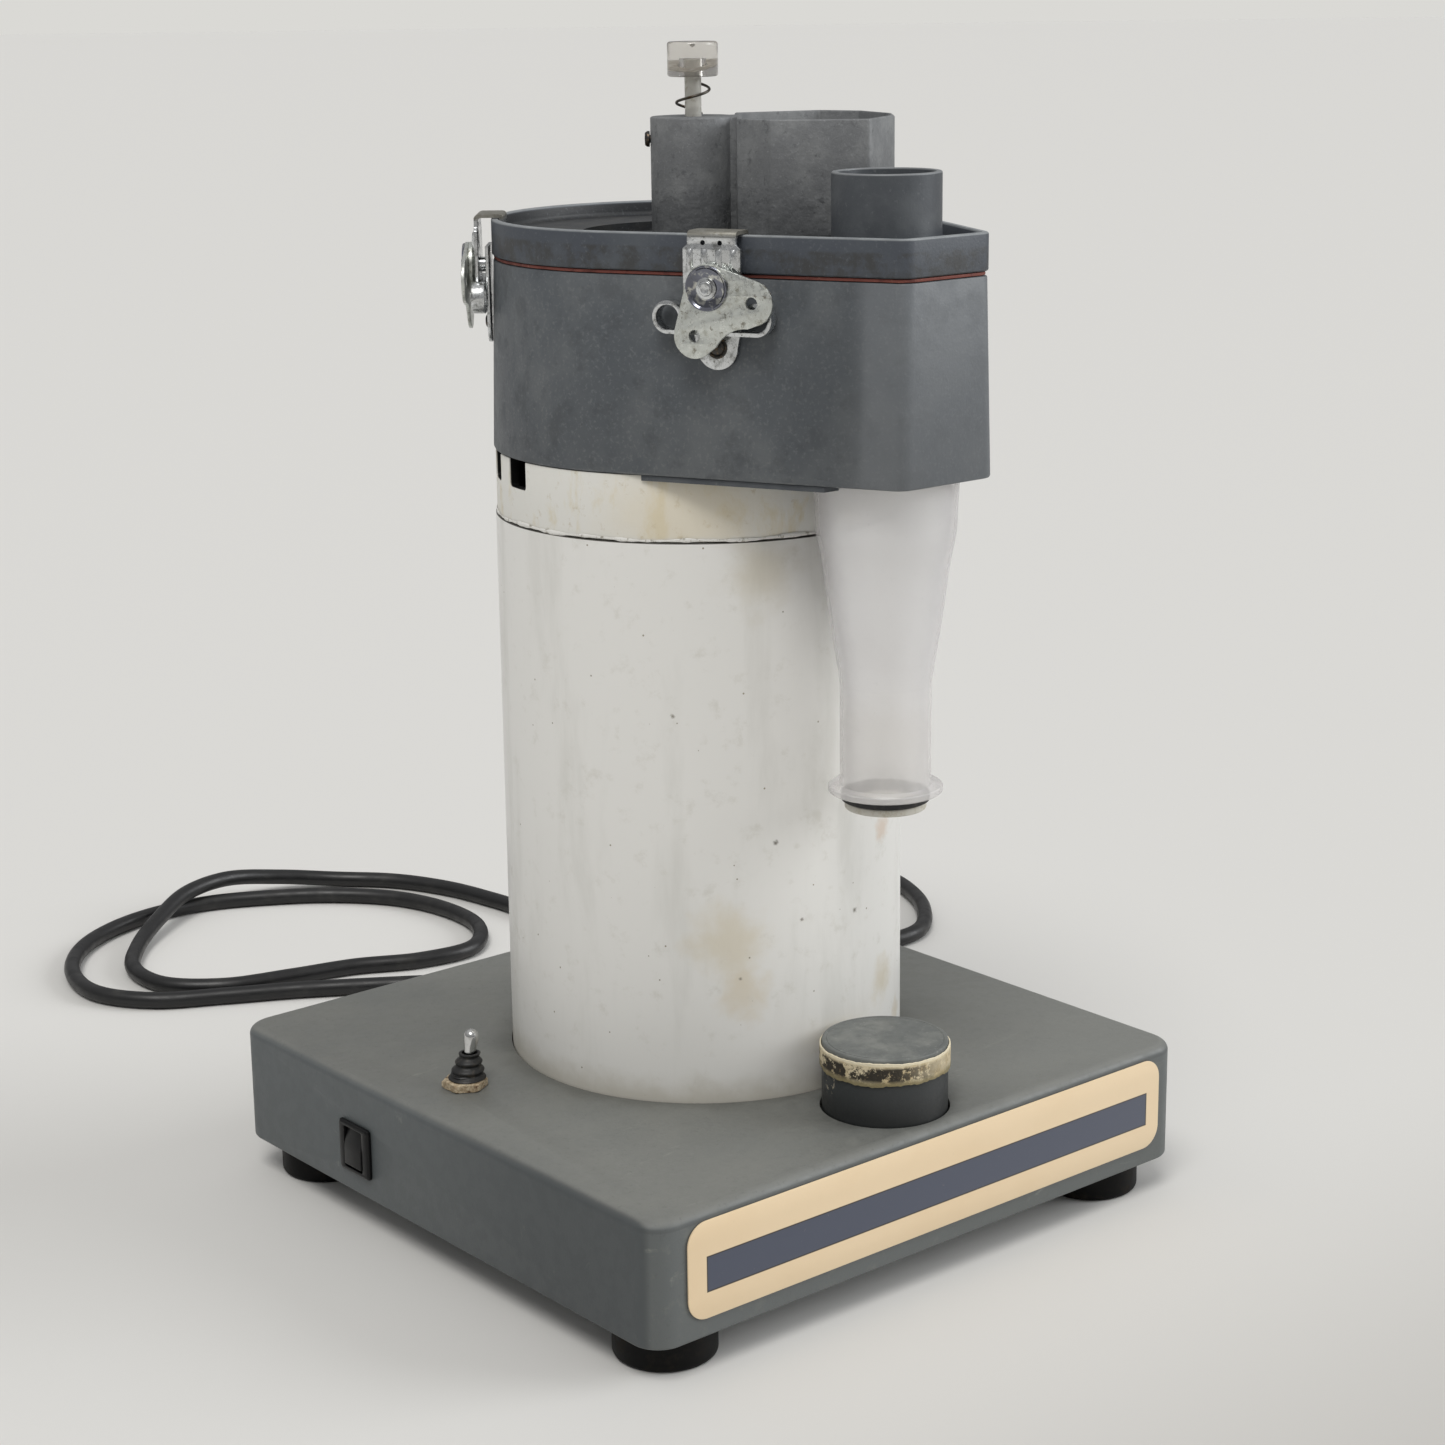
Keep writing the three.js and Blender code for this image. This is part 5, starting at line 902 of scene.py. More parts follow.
def threaded_rod(name, radius, depth, pitch, low, high, bore, centre):
    """A thread: the radius falls by up to a depth with the triangle wave of level over pitch less turn
    over a full circle, fading out at both ends; the bore closes it from inside."""
    rows, sides, fade_length, chamfer = 64, 48, 0.6, 0.4
    turn = round_turn(sides)
    level = np.linspace(low, high, rows)[:, None]
    wave = np.abs(((level / pitch - turn / TAU) % 1.0) * 2 - 1)
    fade = np.clip(np.minimum(level - low, high - level) / fade_length, 0, 1)
    outer = radius - depth * (1 - wave * fade)
    outer[-1] = radius - depth - chamfer
    radii = np.concatenate([outer, np.full((2, sides), bore)])
    levels = np.concatenate([level, [[high], [low]]])
    mesh = skin(name, polar(radii, turn, level=levels), endless=True)
    return moved(mesh, shift(*centre, 0))


def make_toggle():
    """Threaded bushing, a hexagon with a domed top, a ribbed boot and a lever with a ball end."""
    x, y = TOGGLE_AT
    case = bevelled(brick("case", (x - 7.5, y - 14, 43.9), (x + 7.5, y + 14, 63.9)), 0.6)
    bushing = threaded_rod("bushing", BUSHING_R, 0.45, 1.0, 63.7, 73.7, 4.2, TOGGLE_AT)
    body = joined("toggle_case", [case, bushing])
    link("toggle_case", body, "mill", ["toggle_body"], PLASTIC)

    turn = round_turn(96)
    nut_low, nut_top, nut_corner = 67.5, 70.7, 9.6
    flat = nut_corner * math.cos(math.pi / 6)
    hexagon = flat / np.cos((turn + math.pi / 6) % (math.pi / 3) - math.pi / 6)
    ragged = 1 + 0.014 * np.sin(7 * turn + 1) + 0.012 * np.sin(17 * turn) + 0.008 * np.sin(31 * turn + 2)
    most = np.array([[8.9], [nut_corner], [nut_corner], [8.9], [8.2]])
    radii = np.concatenate([np.minimum(hexagon, most) * ragged, np.full((2, 96), BUSHING_R + 0.4)])
    levels = np.array([[nut_low], [67.8], [70.0], [70.5], [nut_top], [nut_top], [nut_low]])
    nut = skin("lock_nut", polar(radii, turn, TOGGLE_AT, levels), endless=True)
    link("lock_nut", nut, "mill", ["toggle_nut"], NUT)

    low, high = 71.0, 81.5
    level = np.linspace(low, high, 61)
    share = (level - low) / (high - low)
    ribs = 0.5 - 0.5 * np.cos(share * 3 * TAU)
    outer = 8.0 - 3.5 * share - 0.95 * ribs
    outer[0] -= 0.4
    outer[-1] -= 0.3
    inner = np.where(level < 74.2, 6.45, 3.3)
    profile = np.concatenate([np.stack([outer, level], -1), np.stack([inner, level], -1)[::-1]])
    boot = lathe("boot_rubber", profile, 64, TOGGLE_AT, True, math.radians(TOGGLE_LEAN), TOGGLE_PIVOT)
    piece = link("boot_rubber", boot, None, ["toggle_boot"], BOOT)
    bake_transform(piece)

    tip = np.linspace(0, math.pi / 2, 8)
    ball, ball_level = 3.0, 24.5
    profile = [(0, -5), (2.2, -5), (2.2, 14.5), (2.35, 17.5), (2.75, 20.5), (ball, 23.0), (ball, ball_level)]
    profile += [(ball * math.cos(t), ball_level + ball * math.sin(t)) for t in tip[1:]]
    lever = lathe("toggle_bat", profile, 48, (0, 0))
    moved(lever, shift(x, y, TOGGLE_PIVOT) @ turned(TOGGLE_LEAN, "Y"))
    link("toggle_bat", lever, "toggle", ["toggle_lever"], CHROME)


def make_pedestal():
    """The sleeve's profile, radius against level, and a paper band whose two edges wander by sums of
    sines of the turn."""
    bore, stem_bore, stem, flange, top, roof = 22.85, 8.9, 11.9, 28.5, 95.65, 90.65
    profile = eased([(0, top - 2.5), (stem_bore, top - 2.5), (stem_bore, 52.65), (stem, 52.65), (stem, roof),
                     (bore, roof), (bore, 40.65), (PEDESTAL_R, 40.65), (PEDESTAL_R, 59.9), (flange, 59.9),
                     (flange, 63.9), (PEDESTAL_R, 63.9), (PEDESTAL_R, top), (24.1, top), (23.8, top - 0.3),
                     (23.5, top), (0, top)],
                    (0, 0, .3, .3, 1, 1, .3, .4, .6, .4, .4, .3, 1.1, .2, .2, .2, 0), 4, False)
    sleeve = lathe("pedestal_sleeve", profile, 128, BOTTLE_AXIS)
    link("pedestal_sleeve", sleeve, "pedestal", ["bottle_pedestal"], PEDESTAL)

    turn = round_turn(360)
    wander = (0.5 * np.sin(3 * turn + 0.4) + 0.35 * np.sin(8 * turn) + 0.25 * np.sin(19 * turn + 1)
              + 0.2 * np.sin(43 * turn) + 0.15 * np.sin(71 * turn + 2))
    low, high = 84.5 + 0.55 * wander, 94.1 + 0.3 * np.roll(wander, 77)
    under, inner, swell = 25.95, 26.0, 26.55 + 0.12 * np.roll(wander, 30)
    thick = np.array([[0.0], [0.8], [1.0], [0.9], [1.0], [0.8], [0.0]])
    share = np.array([[0.0], [0.02], [0.25], [0.5], [0.75], [0.98], [1.0], [1.0], [0.0]])
    radii = np.concatenate([inner + (swell - inner) * thick, np.full((2, 360), under)])
    band = skin("paper_band", polar(radii, turn, BOTTLE_AXIS, low + (high - low) * share), endless=True)
    link("paper_band", band, "pedestal", ["pedestal_band"], BAND)


def coil(name, turns, radius_at, low, high, wire_radius, centre, node):
    """A wire wound about an upright axis: turn and height grow alike, and the radius follows a share of
    the height."""
    share = np.linspace(0, 1, int(turns * 40) + 1)
    path = polar(radius_at(share), TAU * turns * share, centre, low + (high - low) * share)
    piece = link(name, wire(name, path, wire_radius, 12), "mill", [node], WIRE)
    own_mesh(piece)


def make_tube():
    """Plain pipes as closed profiles, the collar with round-bottomed slots, and a thread of old glue in
    the seam whose thickness wanders with the turn."""
    tube = eased([(TUBE_BORE, TUBE_LOW), (TUBE_R, TUBE_LOW), (TUBE_R, TUBE_TOP),
                  (TUBE_BORE, TUBE_TOP)], 0.5, 3)
    link("pipe", lathe("pipe", tube, 200, endless=True), "mill", ["motor_tube"], TUBE)
    collar = eased([(COLLAR_BORE, COLLAR_LOW), (COLLAR_R, COLLAR_LOW), (COLLAR_R, COLLAR_TOP),
                    (COLLAR_BORE, COLLAR_TOP)], 0.4, 3)
    collar = lathe("collar", collar, 200, endless=True)
    half, height, first, pitch = 7.2, 11.5, 26, 18
    outline = eased([(-half, 0), (half, 0), (half, 20), (-half, 20)], (1.6, 1.6, 0, 0), 4)
    stand = Matrix(((0, 0, 1, 0), (1, 0, 0, 0), (0, 1, 0, 0), (0, 0, 0, 1)))
    slots = [moved(loft("slot", [(outline, 70), (outline, 95)]),
                   shift(AXIS_X, 0, COLLAR_TOP - height) @ turned(first + pitch * vent, "Z") @ stand)
             for vent in range(9)]
    link("collar", worked(collar, slots), "mill", ["tube_collar"], COLLAR)

    turn = round_turn(720)
    swell = 0.5 + 0.5 * np.sin(9 * turn + np.sin(4 * turn)) * np.sin(23 * turn + 2 * np.sin(5 * turn))
    swell = 0.1 + 0.85 * np.clip(swell - 0.42, 0, 1) + 0.06 * np.sin(97 * turn)
    across = np.linspace(0, TAU, 10, endpoint=False)[:, None]
    radius = COLLAR_R + 0.2 + swell * (0.2 + 0.8 * np.cos(across))
    level = TUBE_TOP + 1 + (0.35 + 1.1 * swell) * np.sin(across) + 0.25 * np.sin(13 * turn)
    thread = skin("glue_thread", polar(radius, turn, (AXIS_X, 0), level), endless=True)
    link("glue_thread", thread, "mill", (), GLUE)


def finish_wire():
    """Dark spring steel with rust."""
    look = Finish("spring wire", (92, 88, 82), 0.35, 1.0)
    return look.blend(look.patches((3, 5), 0.48, 0.7), (70, 56, 42))


WIRE = finish_wire().material
make_base()
make_feet()
make_label()
make_rocker()
make_toggle()
make_pedestal()
coil("pedestal_coil", 7, lambda s: 17.375 + 0 * s, 21.5, 89.25, 1.1, BOTTLE_AXIS, "pedestal_spring")
make_tube()


# Finishes of the head
def finish_casting():
    """Blue-grey paint over a grainy casting, with painted light on the nose, painted shade on the wall beside
    it, and paler along the foot with wear and a painted highlight.
    """
    look = Finish("cast head", (82, 87, 92), 0.5, 0.0)
    look.blend(look.patches((45, 5), 0.4, 0.64), (98, 102, 105))
    look.tint(look.patches((1.6, 4, 0.7), 0.52, 0.66), 0.45, (118, 121, 123))
    look.tint(look.patches((16, 6, 0.7), 0.5, 0.62), 0.35, (66, 69, 72))
    look.tint(look.patches((6, 6, 0.72), 0.62, 0.74), 0.4, (62, 64, 66))
    # Painted light on the nose face.
    nose = look.step(look.axis("y"), -126.0, -134.0)
    look.tint(nose, 0.5, (120, 124, 128))
    # Painted shade on the wall beside the nose.
    corner = look.spot((-30, -122, 364), 34, 0.8, 0.2, 20, (1, 1, 0.5))
    look.tint(corner, look.sum("MULTIPLY", look.step(look.axis("y"), -134, -130), 0.35), (66, 70, 74))
    # Wear and a painted highlight along the foot edge.
    edge = look.step(look.axis("z"), 327.2, 326.2)
    look.tint(edge, look.patches((12, 6, 0.7), 0.45, 0.7), (118, 120, 121))
    look.roughen(look.patches((8, 5), 0.4, 0.7), 0.62)
    look.bump(look.noise(1.1, 4, 0.6), 0.1)
    return look.bump(look.noise(14, 4), 0.3)


def finish_lid():
    """Darker paint, rubbed bright on the rim, with painted shade on the inner wall and dust and painted shade
    on the floor.
    """
    look = Finish("cast lid", (70, 75, 83), 0.5, 0.0)
    look.blend(look.patches((30, 5), 0.4, 0.7), (80, 85, 91))
    top = look.step(look.axis("z"), 417.8, 418.4)
    look.tint(top, look.sum("ADD", look.noise(9, 5), 0.2), (158, 162, 164))
    # Painted shade on the inner wall of the tray.
    inner = look.spot((AXIS_X, 0, 415), 80.4, 0.01, 0.0, 6, (1, 1, 0))
    inner = look.sum("MULTIPLY", inner, look.step(look.axis("z"), 418.2, 417.4))
    look.tint(inner, 0.9, (34, 36, 38))
    # Dust and painted shade on the tray's floor.
    floor = look.sum("MULTIPLY", look.step(look.axis("z"), 414.2, 412.8), 0.8)
    look.tint(floor, look.patches((9, 6, 0.7), 0.4, 0.62), (58, 58, 57))
    look.tint(look.patches((1.6, 4, 0.7), 0.56, 0.7), 0.3, (112, 116, 120))
    look.bump(look.noise(1.1, 4, 0.6), 0.1)
    return look


def finish_gasket():
    """Brick red sheet with darker and paler patches."""
    look = Finish("red gasket", (128, 70, 60), 0.7)
    look.blend(look.patches((5, 6, 0.7), 0.5, 0.66), (104, 54, 48))
    return look.blend(look.patches((2.2, 6, 0.7), 0.6, 0.7), (150, 100, 86))


def finish_hopper():
    """A worn grey casting, lumpy towards its foot."""
    look = Finish("hopper casting", (112, 114, 116), 0.5, 0.15)
    look.blend(look.patches((16, 6, 0.65), 0.42, 0.68), (130, 132, 133))
    look.blend(look.patches((5, 6, 0.72), 0.55, 0.7), (92, 94, 96))
    look.tint(look.patches((1.4, 5, 0.7), 0.56, 0.7), 0.5, (152, 154, 155))
    low = look.step(look.axis("z"), 440.0, 424.0)
    look.bump(look.sum("MULTIPLY", low, look.noise(5.5, 2)), 0.6)
    look.roughen(look.patches((6, 5), 0.4, 0.7), 0.62)
    return look.bump(look.noise(2.6, 6, 0.7), 0.3)


def finish_outlet():
    """Dark paint, rubbed bright at the rim."""
    look = Finish("outlet casting", (74, 78, 83), 0.46, 0.1)
    look.blend(look.patches((14, 6), 0.42, 0.7), (88, 92, 96))
    look.tint(look.patches((2, 6, 0.7), 0.58, 0.72), 0.45, (122, 125, 127))
    rim = look.step(look.axis("z"), 440.0, 440.5)
    look.tint(rim, 0.6, (150, 153, 155))
    return look.bump(look.noise(1.2, 4), 0.08)


def finish_screw():
    """Dark steel with rust."""
    look = Finish("screw steel", (74, 72, 70), 0.4, 0.9)
    return look.blend(look.patches((1.2, 5), 0.5, 0.65), (112, 96, 78))


def finish_clear():
    """Clear plastic, fogged in patches."""
    look = Finish("clear acrylic", (234, 231, 226), 0.1, 0.0, Transmission_Weight=0.86, IOR=1.47)
    return look.roughen(look.patches((5, 5), 0.5, 0.75), 0.22)


def finish_stem():
    """Milky plastic with yellowed patches."""
    look = Finish("stem plastic", (226, 224, 216), 0.35, 0.0, Transmission_Weight=0.35, IOR=1.47)
    return look.blend(look.patches((3, 5), 0.55, 0.7), (196, 190, 174))


def finish_layer():
    """A film of old adhesive."""
    look = Finish("old adhesive", (158, 150, 136), 0.6)
    return look.blend(look.patches((2, 5), 0.45, 0.65), (190, 184, 172))


def finish_cyclone():
    """Milky see-through plastic with dust inside its foot and painted shade on its flanks left and right."""
    look = Finish("milky plastic", (254, 253, 253), 0.26, 0.0, Transmission_Weight=0.3, IOR=1.46, Alpha=0.5)
    look.tint(look.patches((30, 5), 0.42, 0.7), 0.4, (246, 244, 243))
    inside = look.step(look.sum("MULTIPLY_ADD", look.noise(14, 5), 24.0, look.axis("z")), 262.0, 236.0)
    look.tint(inside, 0.3, (232, 227, 219))
    look.tint(look.patches((2.4, 6, 0.7), 0.62, 0.74), 0.3, (214, 208, 198))
    # Painted shade on the flanks, left and right of the line of sight.
    for away, amount in ((-29.0, 0.5), (30.0, 0.32)):
        middle = (AXIS_X + 0.728 * away, BOTTLE_Y - 0.686 * away, 270)
        flank_shade = look.spot(middle, 27.0, 0.95, 0.12, 5.0, (1, 1, 0.03))
        look.tint(flank_shade, amount, (150, 144, 152))
    return look.bump(look.noise(18, 3), 0.1)


def finish_seal():
    """Black rubber with grey dust."""
    look = Finish("seal rubber", (26, 26, 27), 0.55)
    return look.blend(look.patches((3, 5), 0.5, 0.7), (52, 50, 48))


def finish_ring():
    """A pale worn ring."""
    look = Finish("pale ring", (208, 205, 195), 0.6)
    look.blend(look.patches((4, 6, 0.7), 0.5, 0.68), (186, 178, 158))
    return look.bump(look.noise(1.4, 5), 0.1)


def finish_zinc():
    """Bright zinc plate, tarnished in spots and dull over the rim."""
    look = Finish("zinc plate", (214, 216, 217), 0.2, 1.0)
    look.blend(look.patches((7, 6, 0.7), 0.5, 0.66), (146, 147, 145))
    look.tint(look.patches((1.6, 6, 0.72), 0.56, 0.66), 0.7, (92, 89, 82))
    rim = look.sum("MULTIPLY", look.step(look.axis("z"), 417.2, 419.4),
                   look.patches((5, 5), 0.2, 0.45))
    look.tint(rim, 0.8, (134, 130, 117))
    look.roughen(look.patches((2.6, 6, 0.7), 0.46, 0.66), 0.42)
    look.roughen(rim, 0.6)
    return look.bump(look.noise(1.0, 5), 0.04)


def finish_wing():
    """Dull zinc with pale and brown patches."""
    look = Finish("dull zinc", (214, 217, 212), 0.27, 1.0)
    look.blend(look.patches((6, 6, 0.7), 0.5, 0.7), (178, 178, 168))
    look.tint(look.patches((1.3, 6, 0.75), 0.52, 0.64), 0.5, (222, 224, 218))
    look.tint(look.patches((2.6, 6, 0.78), 0.56, 0.64), 0.75, (108, 100, 84))
    look.roughen(look.patches((1.8, 6, 0.7), 0.42, 0.62), 0.55)
    return look.bump(look.noise(0.9, 6, 0.7), 0.08)


def finish_cup():
    """A polished cup with pale and dark reflections."""
    look = Finish("polished cup", (118, 120, 130), 0.1, 1.0)
    look.blend(look.patches((3.5, 5, 0.6, 0.6), 0.5, 0.62), (196, 196, 190))
    look.tint(look.patches((1.5, 6, 0.7), 0.58, 0.7), 0.6, (88, 84, 80))
    return look.roughen(look.patches((2, 5), 0.5, 0.7), 0.3)


(CAST, LID, GASKET, HOPPER, OUTLET, SCREW, CLEAR, STEM, LAYER, CYCLONE, SEAL, RING, ZINC, WING, CUP) = (
    make().material for make in (
        finish_casting, finish_lid, finish_gasket, finish_hopper, finish_outlet, finish_screw,
        finish_clear, finish_stem, finish_layer, finish_cyclone, finish_seal, finish_ring, finish_zinc,
        finish_wing, finish_cup))


# Head
def shrunk(outline, amount):
    """A teardrop outline drawn in along its corner normals."""
    before, after = np.roll(outline, 1, 0), np.roll(outline, -1, 0)
    run = after - before
    normal = np.stack([run[:, 1], -run[:, 0]], -1) / np.hypot(run[:, 0], run[:, 1])[:, None]
    return outline - normal * np.reshape(amount, (-1, 1))


def make_head():
    """Teardrops from the wide bottom to the narrower top with small round edges; the rooms inside are
    cut as in the frame."""
    below, above, deck = HEAD_LOW - 6, HEAD_TOP + 7.5, 358.0
    rings = []
    for level, edge in ((326.0, 0.9), (326.2, 0.4), (326.9, 0.0), (401.9, 0.0), (402.3, 0.2), (402.5, 0.6)):
        rise = (level - HEAD_LOW) / (HEAD_TOP - HEAD_LOW)
        outline = teardrop(HEAD_WIDE - HEAD_TAPER * rise, NOSE_Y + 0.7 * rise)
        rings.append((shrunk(outline, edge), level))
    recess, hollow = teardrop(77.5, -142.6, 3), teardrop(73, -138.1, 3)
    shell = worked(loft("head", rings), [loft("recess", [(recess, below), (recess, HEAD_LOW + 5.6)]),
                                         loft("hollow", [(hollow, below), (hollow, deck - 6)])])
    shell = worked(shell, [rod("boss", 33.1, HEAD_LOW + 5.6, deck - 5.7, BOTTLE_AXIS)], "UNION")
    shell = worked(shell, [
        rod("chamber", 71, deck, above, sides=128), rod("deck", 15, deck - 13, deck + 4),
        rod("bore", 28.6, below, above, BOTTLE_AXIS), rod("seat", 30.6, HEAD_TOP - 3.3, above, BOTTLE_AXIS),
        brick("way", *AIR_WAY)])
    link("head_casting", shell, "mill", ["head_body"], CAST, 35)


def make_nose_shade_sheet():
    """A dark sheet under the nose that stands for the shade there, between the collar and the cyclone: the
    head's plan drawn in a little and cut off behind, round the collar and round the cyclone."""
    outline = shrunk(teardrop(HEAD_WIDE, NOSE_Y, steps=160), 1.2)
    low, high, wide = 320, 330, 100
    sheet = worked(loft("shade_sheet", [(outline, HEAD_LOW - 2.3), (outline, HEAD_LOW - 0.2)]), [
        rod("round", COLLAR_R + 0.8, low, high, sides=160), rod("hole", 29.2, low, high, BOTTLE_AXIS),
        brick("back", (-wide, -42, low), (wide, wide, high)),
        brick("front", (-wide, -200, low), (wide, -118, high))])
    # The sheet stands for the shade under the nose.
    link("nose_shade_sheet", bevelled(sheet, 0.2, 50, 2), "mill", (), OUTLET)


def make_gasket():
    """A sheet whose outline wanders a little in and out."""
    outline = teardrop(LID_R - 0.9, LID_NOSE + 0.6, steps=240)
    step = np.arange(len(outline))
    wander = 0.16 * np.sin(step * 0.9) * np.sin(step * 0.21) + 0.12 * np.sin(step * 0.37 + 2)
    sheet = plate("red_gasket", [shrunk(outline, 0.1 + wander), circle(60, AXIS_X, 0, 96),
                                 circle(OUTLET_BORE, *BOTTLE_AXIS, 64)], GASKET_LOW, GASKET_TOP, 0.3)
    link("red_gasket", sheet, "mill", ["head_gasket"], GASKET)


def make_lid():
    """A teardrop tray: outer rings with round edges, the inside cut out with a small fillet."""
    rings = [(shrunk(teardrop(LID_R, LID_NOSE), edge), level) for level, edge in (
        (LID_LOW, 0.5), (LID_LOW + 0.5, 0.0), (RIM_TOP - 0.8, 0.0), (RIM_TOP - 0.3, 0.2), (RIM_TOP, 0.7))]
    inside = teardrop(LID_R - RIM_WALL, LID_NOSE + RIM_WALL, 4)
    tray = [(shrunk(inside, edge), level) for level, edge in (
        (412.6, 2.0), (412.9, 1.1), (413.5, 0.4), (414.6, 0.0), (418.0, 0.0), (418.4, -0.25), (418.9, -0.7))]
    lid = worked(loft("lid", rings), [
        loft("tray", tray), rod("recess", 46, 409, 416, sides=128), rod("feed", FEED_BORE, 400, 416),
        rod("outlet", OUTLET_BORE, 400, 416, BOTTLE_AXIS)])
    link("lid_tray", lid, "mill", ["head_lid"], LID, 35)


def make_outlet():
    """A closed profile, radius against level."""
    bore, neck, outer, flange, low, seat, top = 18.5, 15.0, 20.9, 24.0, 368.8, 402.8, 440.8
    profile = eased([(neck, low), (neck, seat), (outer, seat), (outer, HOPPER_LOW), (flange, HOPPER_LOW),
                     (flange, 415.3), (outer, 415.3), (outer, top), (bore, top), (bore, 404.0), (13, 402.0),
                     (13, low)],
                    (.4, .5, .5, .3, .6, .6, 1.6, .7, .5, 1, 1, .4), 5)
    pipe = lathe("air_outlet", profile, 128, BOTTLE_AXIS, endless=True)
    link("air_outlet", pipe, "mill", ["outlet_tube"], OUTLET)


def turned_hopper(mesh):
    """A piece drawn in the hopper's own frame, turned about the motor axis."""
    return moved(mesh, shift(AXIS_X, 0, 0) @ turned(-40, "Z"))


def make_hopper():
    """Column, a short web and faceted bin as one outline pushed up and drawn in at the rim, kept to the
    tray's room, and hollowed by a funnel whose foot is the mouth drawn in to a narrow shape against the
    near wall, and by a throat from there to the column."""
    corners = np.array([(17.2, -27), (30.1, -39.8), (69.2, -41), (80.3, -12.3), (80.3, 5.7), (69.2, 31.2),
                        (52, 41), (16.8, 27.1)])
    wall, rim_wall, half, web, throat, above = 2.6, 1.9, 41, 9.4, 7.7, 463
    middle = corners.mean(0)
    inner = eased(middle + (corners - middle) * (1 - wall / half), 1.4)
    flared = eased(middle + (corners - middle) * (1 - rim_wall / half), 1.6)
    near, far = inner[:, 0].min(), inner[:, 0].max()
    foot = np.stack([near + 22 * (inner[:, 0] - near) / (far - near), inner[:, 1] * 7.8 / (half - wall)], -1)
    start = math.degrees(math.asin(web / COLUMN_R))
    round_column = arc((0, 0), COLUMN_R, start, 360 - start, 90)
    bin_wall = eased(np.concatenate([[(17.1, -web)], corners, [(17.0, web)]]),
                     (0, 1.0, 2.2, 2.2, 1.6, 2.2, 1.6, 2.2, 1.0, 0), 5, False)
    outline = np.concatenate([round_column, bin_wall])
    body = turned_hopper(loft("bin", [
        (outline, HOPPER_LOW - 3.6), (outline, HOPPER_TOP - 0.6), (shrunk(outline, 0.25), HOPPER_TOP - 0.2),
        (shrunk(outline, 0.6), HOPPER_TOP)]))
    room = lathe("room", [(0, 404), (45.6, 404), (45.6, HOPPER_LOW), (79.1, HOPPER_LOW), (79.1, 419.2),
                          (160, 419.2), (160, above), (0, above)], 160)
    body = worked(body, [room], "INTERSECT")
    hollow = turned_hopper(loft("hollow", [(foot, 418.9), (inner, 443.7), (inner, HOPPER_TOP - 0.7),
                                           (flared, HOPPER_TOP + 0.2), (flared, above)]))
    throat_box = brick("throat", (-AXIS_X, -throat, 419.0), (near + wall, throat, 434.9))
    screw_hole = moved(rod("hole", 1.9, -17, 9.3, (0, 0), 24), shift(*SCREW_AT) @ turned(90, "Y"))
    body = worked(body, [
        faceted(hollow), turned_hopper(throat_box), rod("feed", FEED_BORE, 404, 433.7, sides=64),
        rod("stem", 3.75, 428, 464, sides=48), turned_hopper(screw_hole)])
    link("hopper_casting", bevelled(body, 0.3, 50, 2), "mill", ["feed_hopper"], HOPPER, 40)


def make_screw():
    """A turned screw, radius against height above the column, with a slot across its head."""
    profile = eased([(0, -9), (1.6, -9), (1.6, 0.3), (3.15, 0.3), (3.15, 1.2), (2.6, 2.2), (0, 2.4)],
                    (0, .2, .1, .2, .5, .6, 0), 4, False)
    screw = worked(lathe("screw", profile, 48, (0, 0)), [brick("slot", (-6, -.45, 1.6), (6, .45, 4))])
    turned_hopper(moved(screw, shift(*SCREW_AT) @ turned(-90, "Y")))
    link("column_screw", screw, "mill", ["hopper_screw"], SCREW)


def make_plunger():
    """Knob, stem and foot as turned profiles; the knob's top holds a small cone, and a slanting film of
    old adhesive lies in it as a disc whose height follows x and y."""
    socket, knob_r, knob_low, knob_top, socket_top = 3.65, 10.2, 473.3, 487.0, 480.45
    profile = eased([(socket, knob_low), (knob_r, knob_low), (knob_r, knob_top), (2.4, knob_top), (0, 484.4),
                     (0, socket_top), (socket, socket_top)], (.3, 1.0, 1.2, .3, 0, 0, .2))
    knob = lathe("knob_clear", profile, endless=True)
    link("knob_clear", knob, "plunger", ["feed_knob"], CLEAR, 40)
    turn = round_turn(72)
    wander = 1 + 0.05 * np.sin(5 * turn) + 0.03 * np.sin(11 * turn + 1)
    radius = np.array([[4.2], [9.3], [9.6], [9.3], [4.2]])
    lift = np.array([[0.0], [0.0], [0.15], [0.35], [0.4]])
    rings = polar(radius * np.where(radius > 5, wander, 1), turn, level=lift)
    rings[..., 2] += 477.4 + 0.2 * rings[..., 0] + 0.12 * rings[..., 1]
    rings[..., 0] += AXIS_X
    link("knob_film", skin("knob_film", rings, endless=True), "plunger", (), LAYER)

    stem_r, stem_low, stem_top = 3.35, 428.7, 480.15
    stem = eased([(0, stem_low), (stem_r, stem_low), (stem_r, stem_top), (0, stem_top)],
                 (0, .3, .4, 0), 4, False)
    link("stem_rod", lathe("stem_rod", stem, 48), "plunger", ["feed_stem"], STEM)
    foot_r, shelf, foot_top = 6.6, 428.4, 433.4
    foot = eased([(0, 425.9), (foot_r, shelf), (foot_r, foot_top), (socket, foot_top), (socket, shelf),
                  (0, shelf)], (0, .5, .4, .2, .2, 0), 4, False)
    link("stem_foot", lathe("stem_foot", foot, 48), "plunger", ["plunger_foot"], STEM)
    coil("feed_coil", 1.25, lambda s: 7.2 * (0.6 + 0.4 * np.sin(np.pi * s)), 458.55, 472.45, 0.55,
         (AXIS_X, 0), "feed_spring")


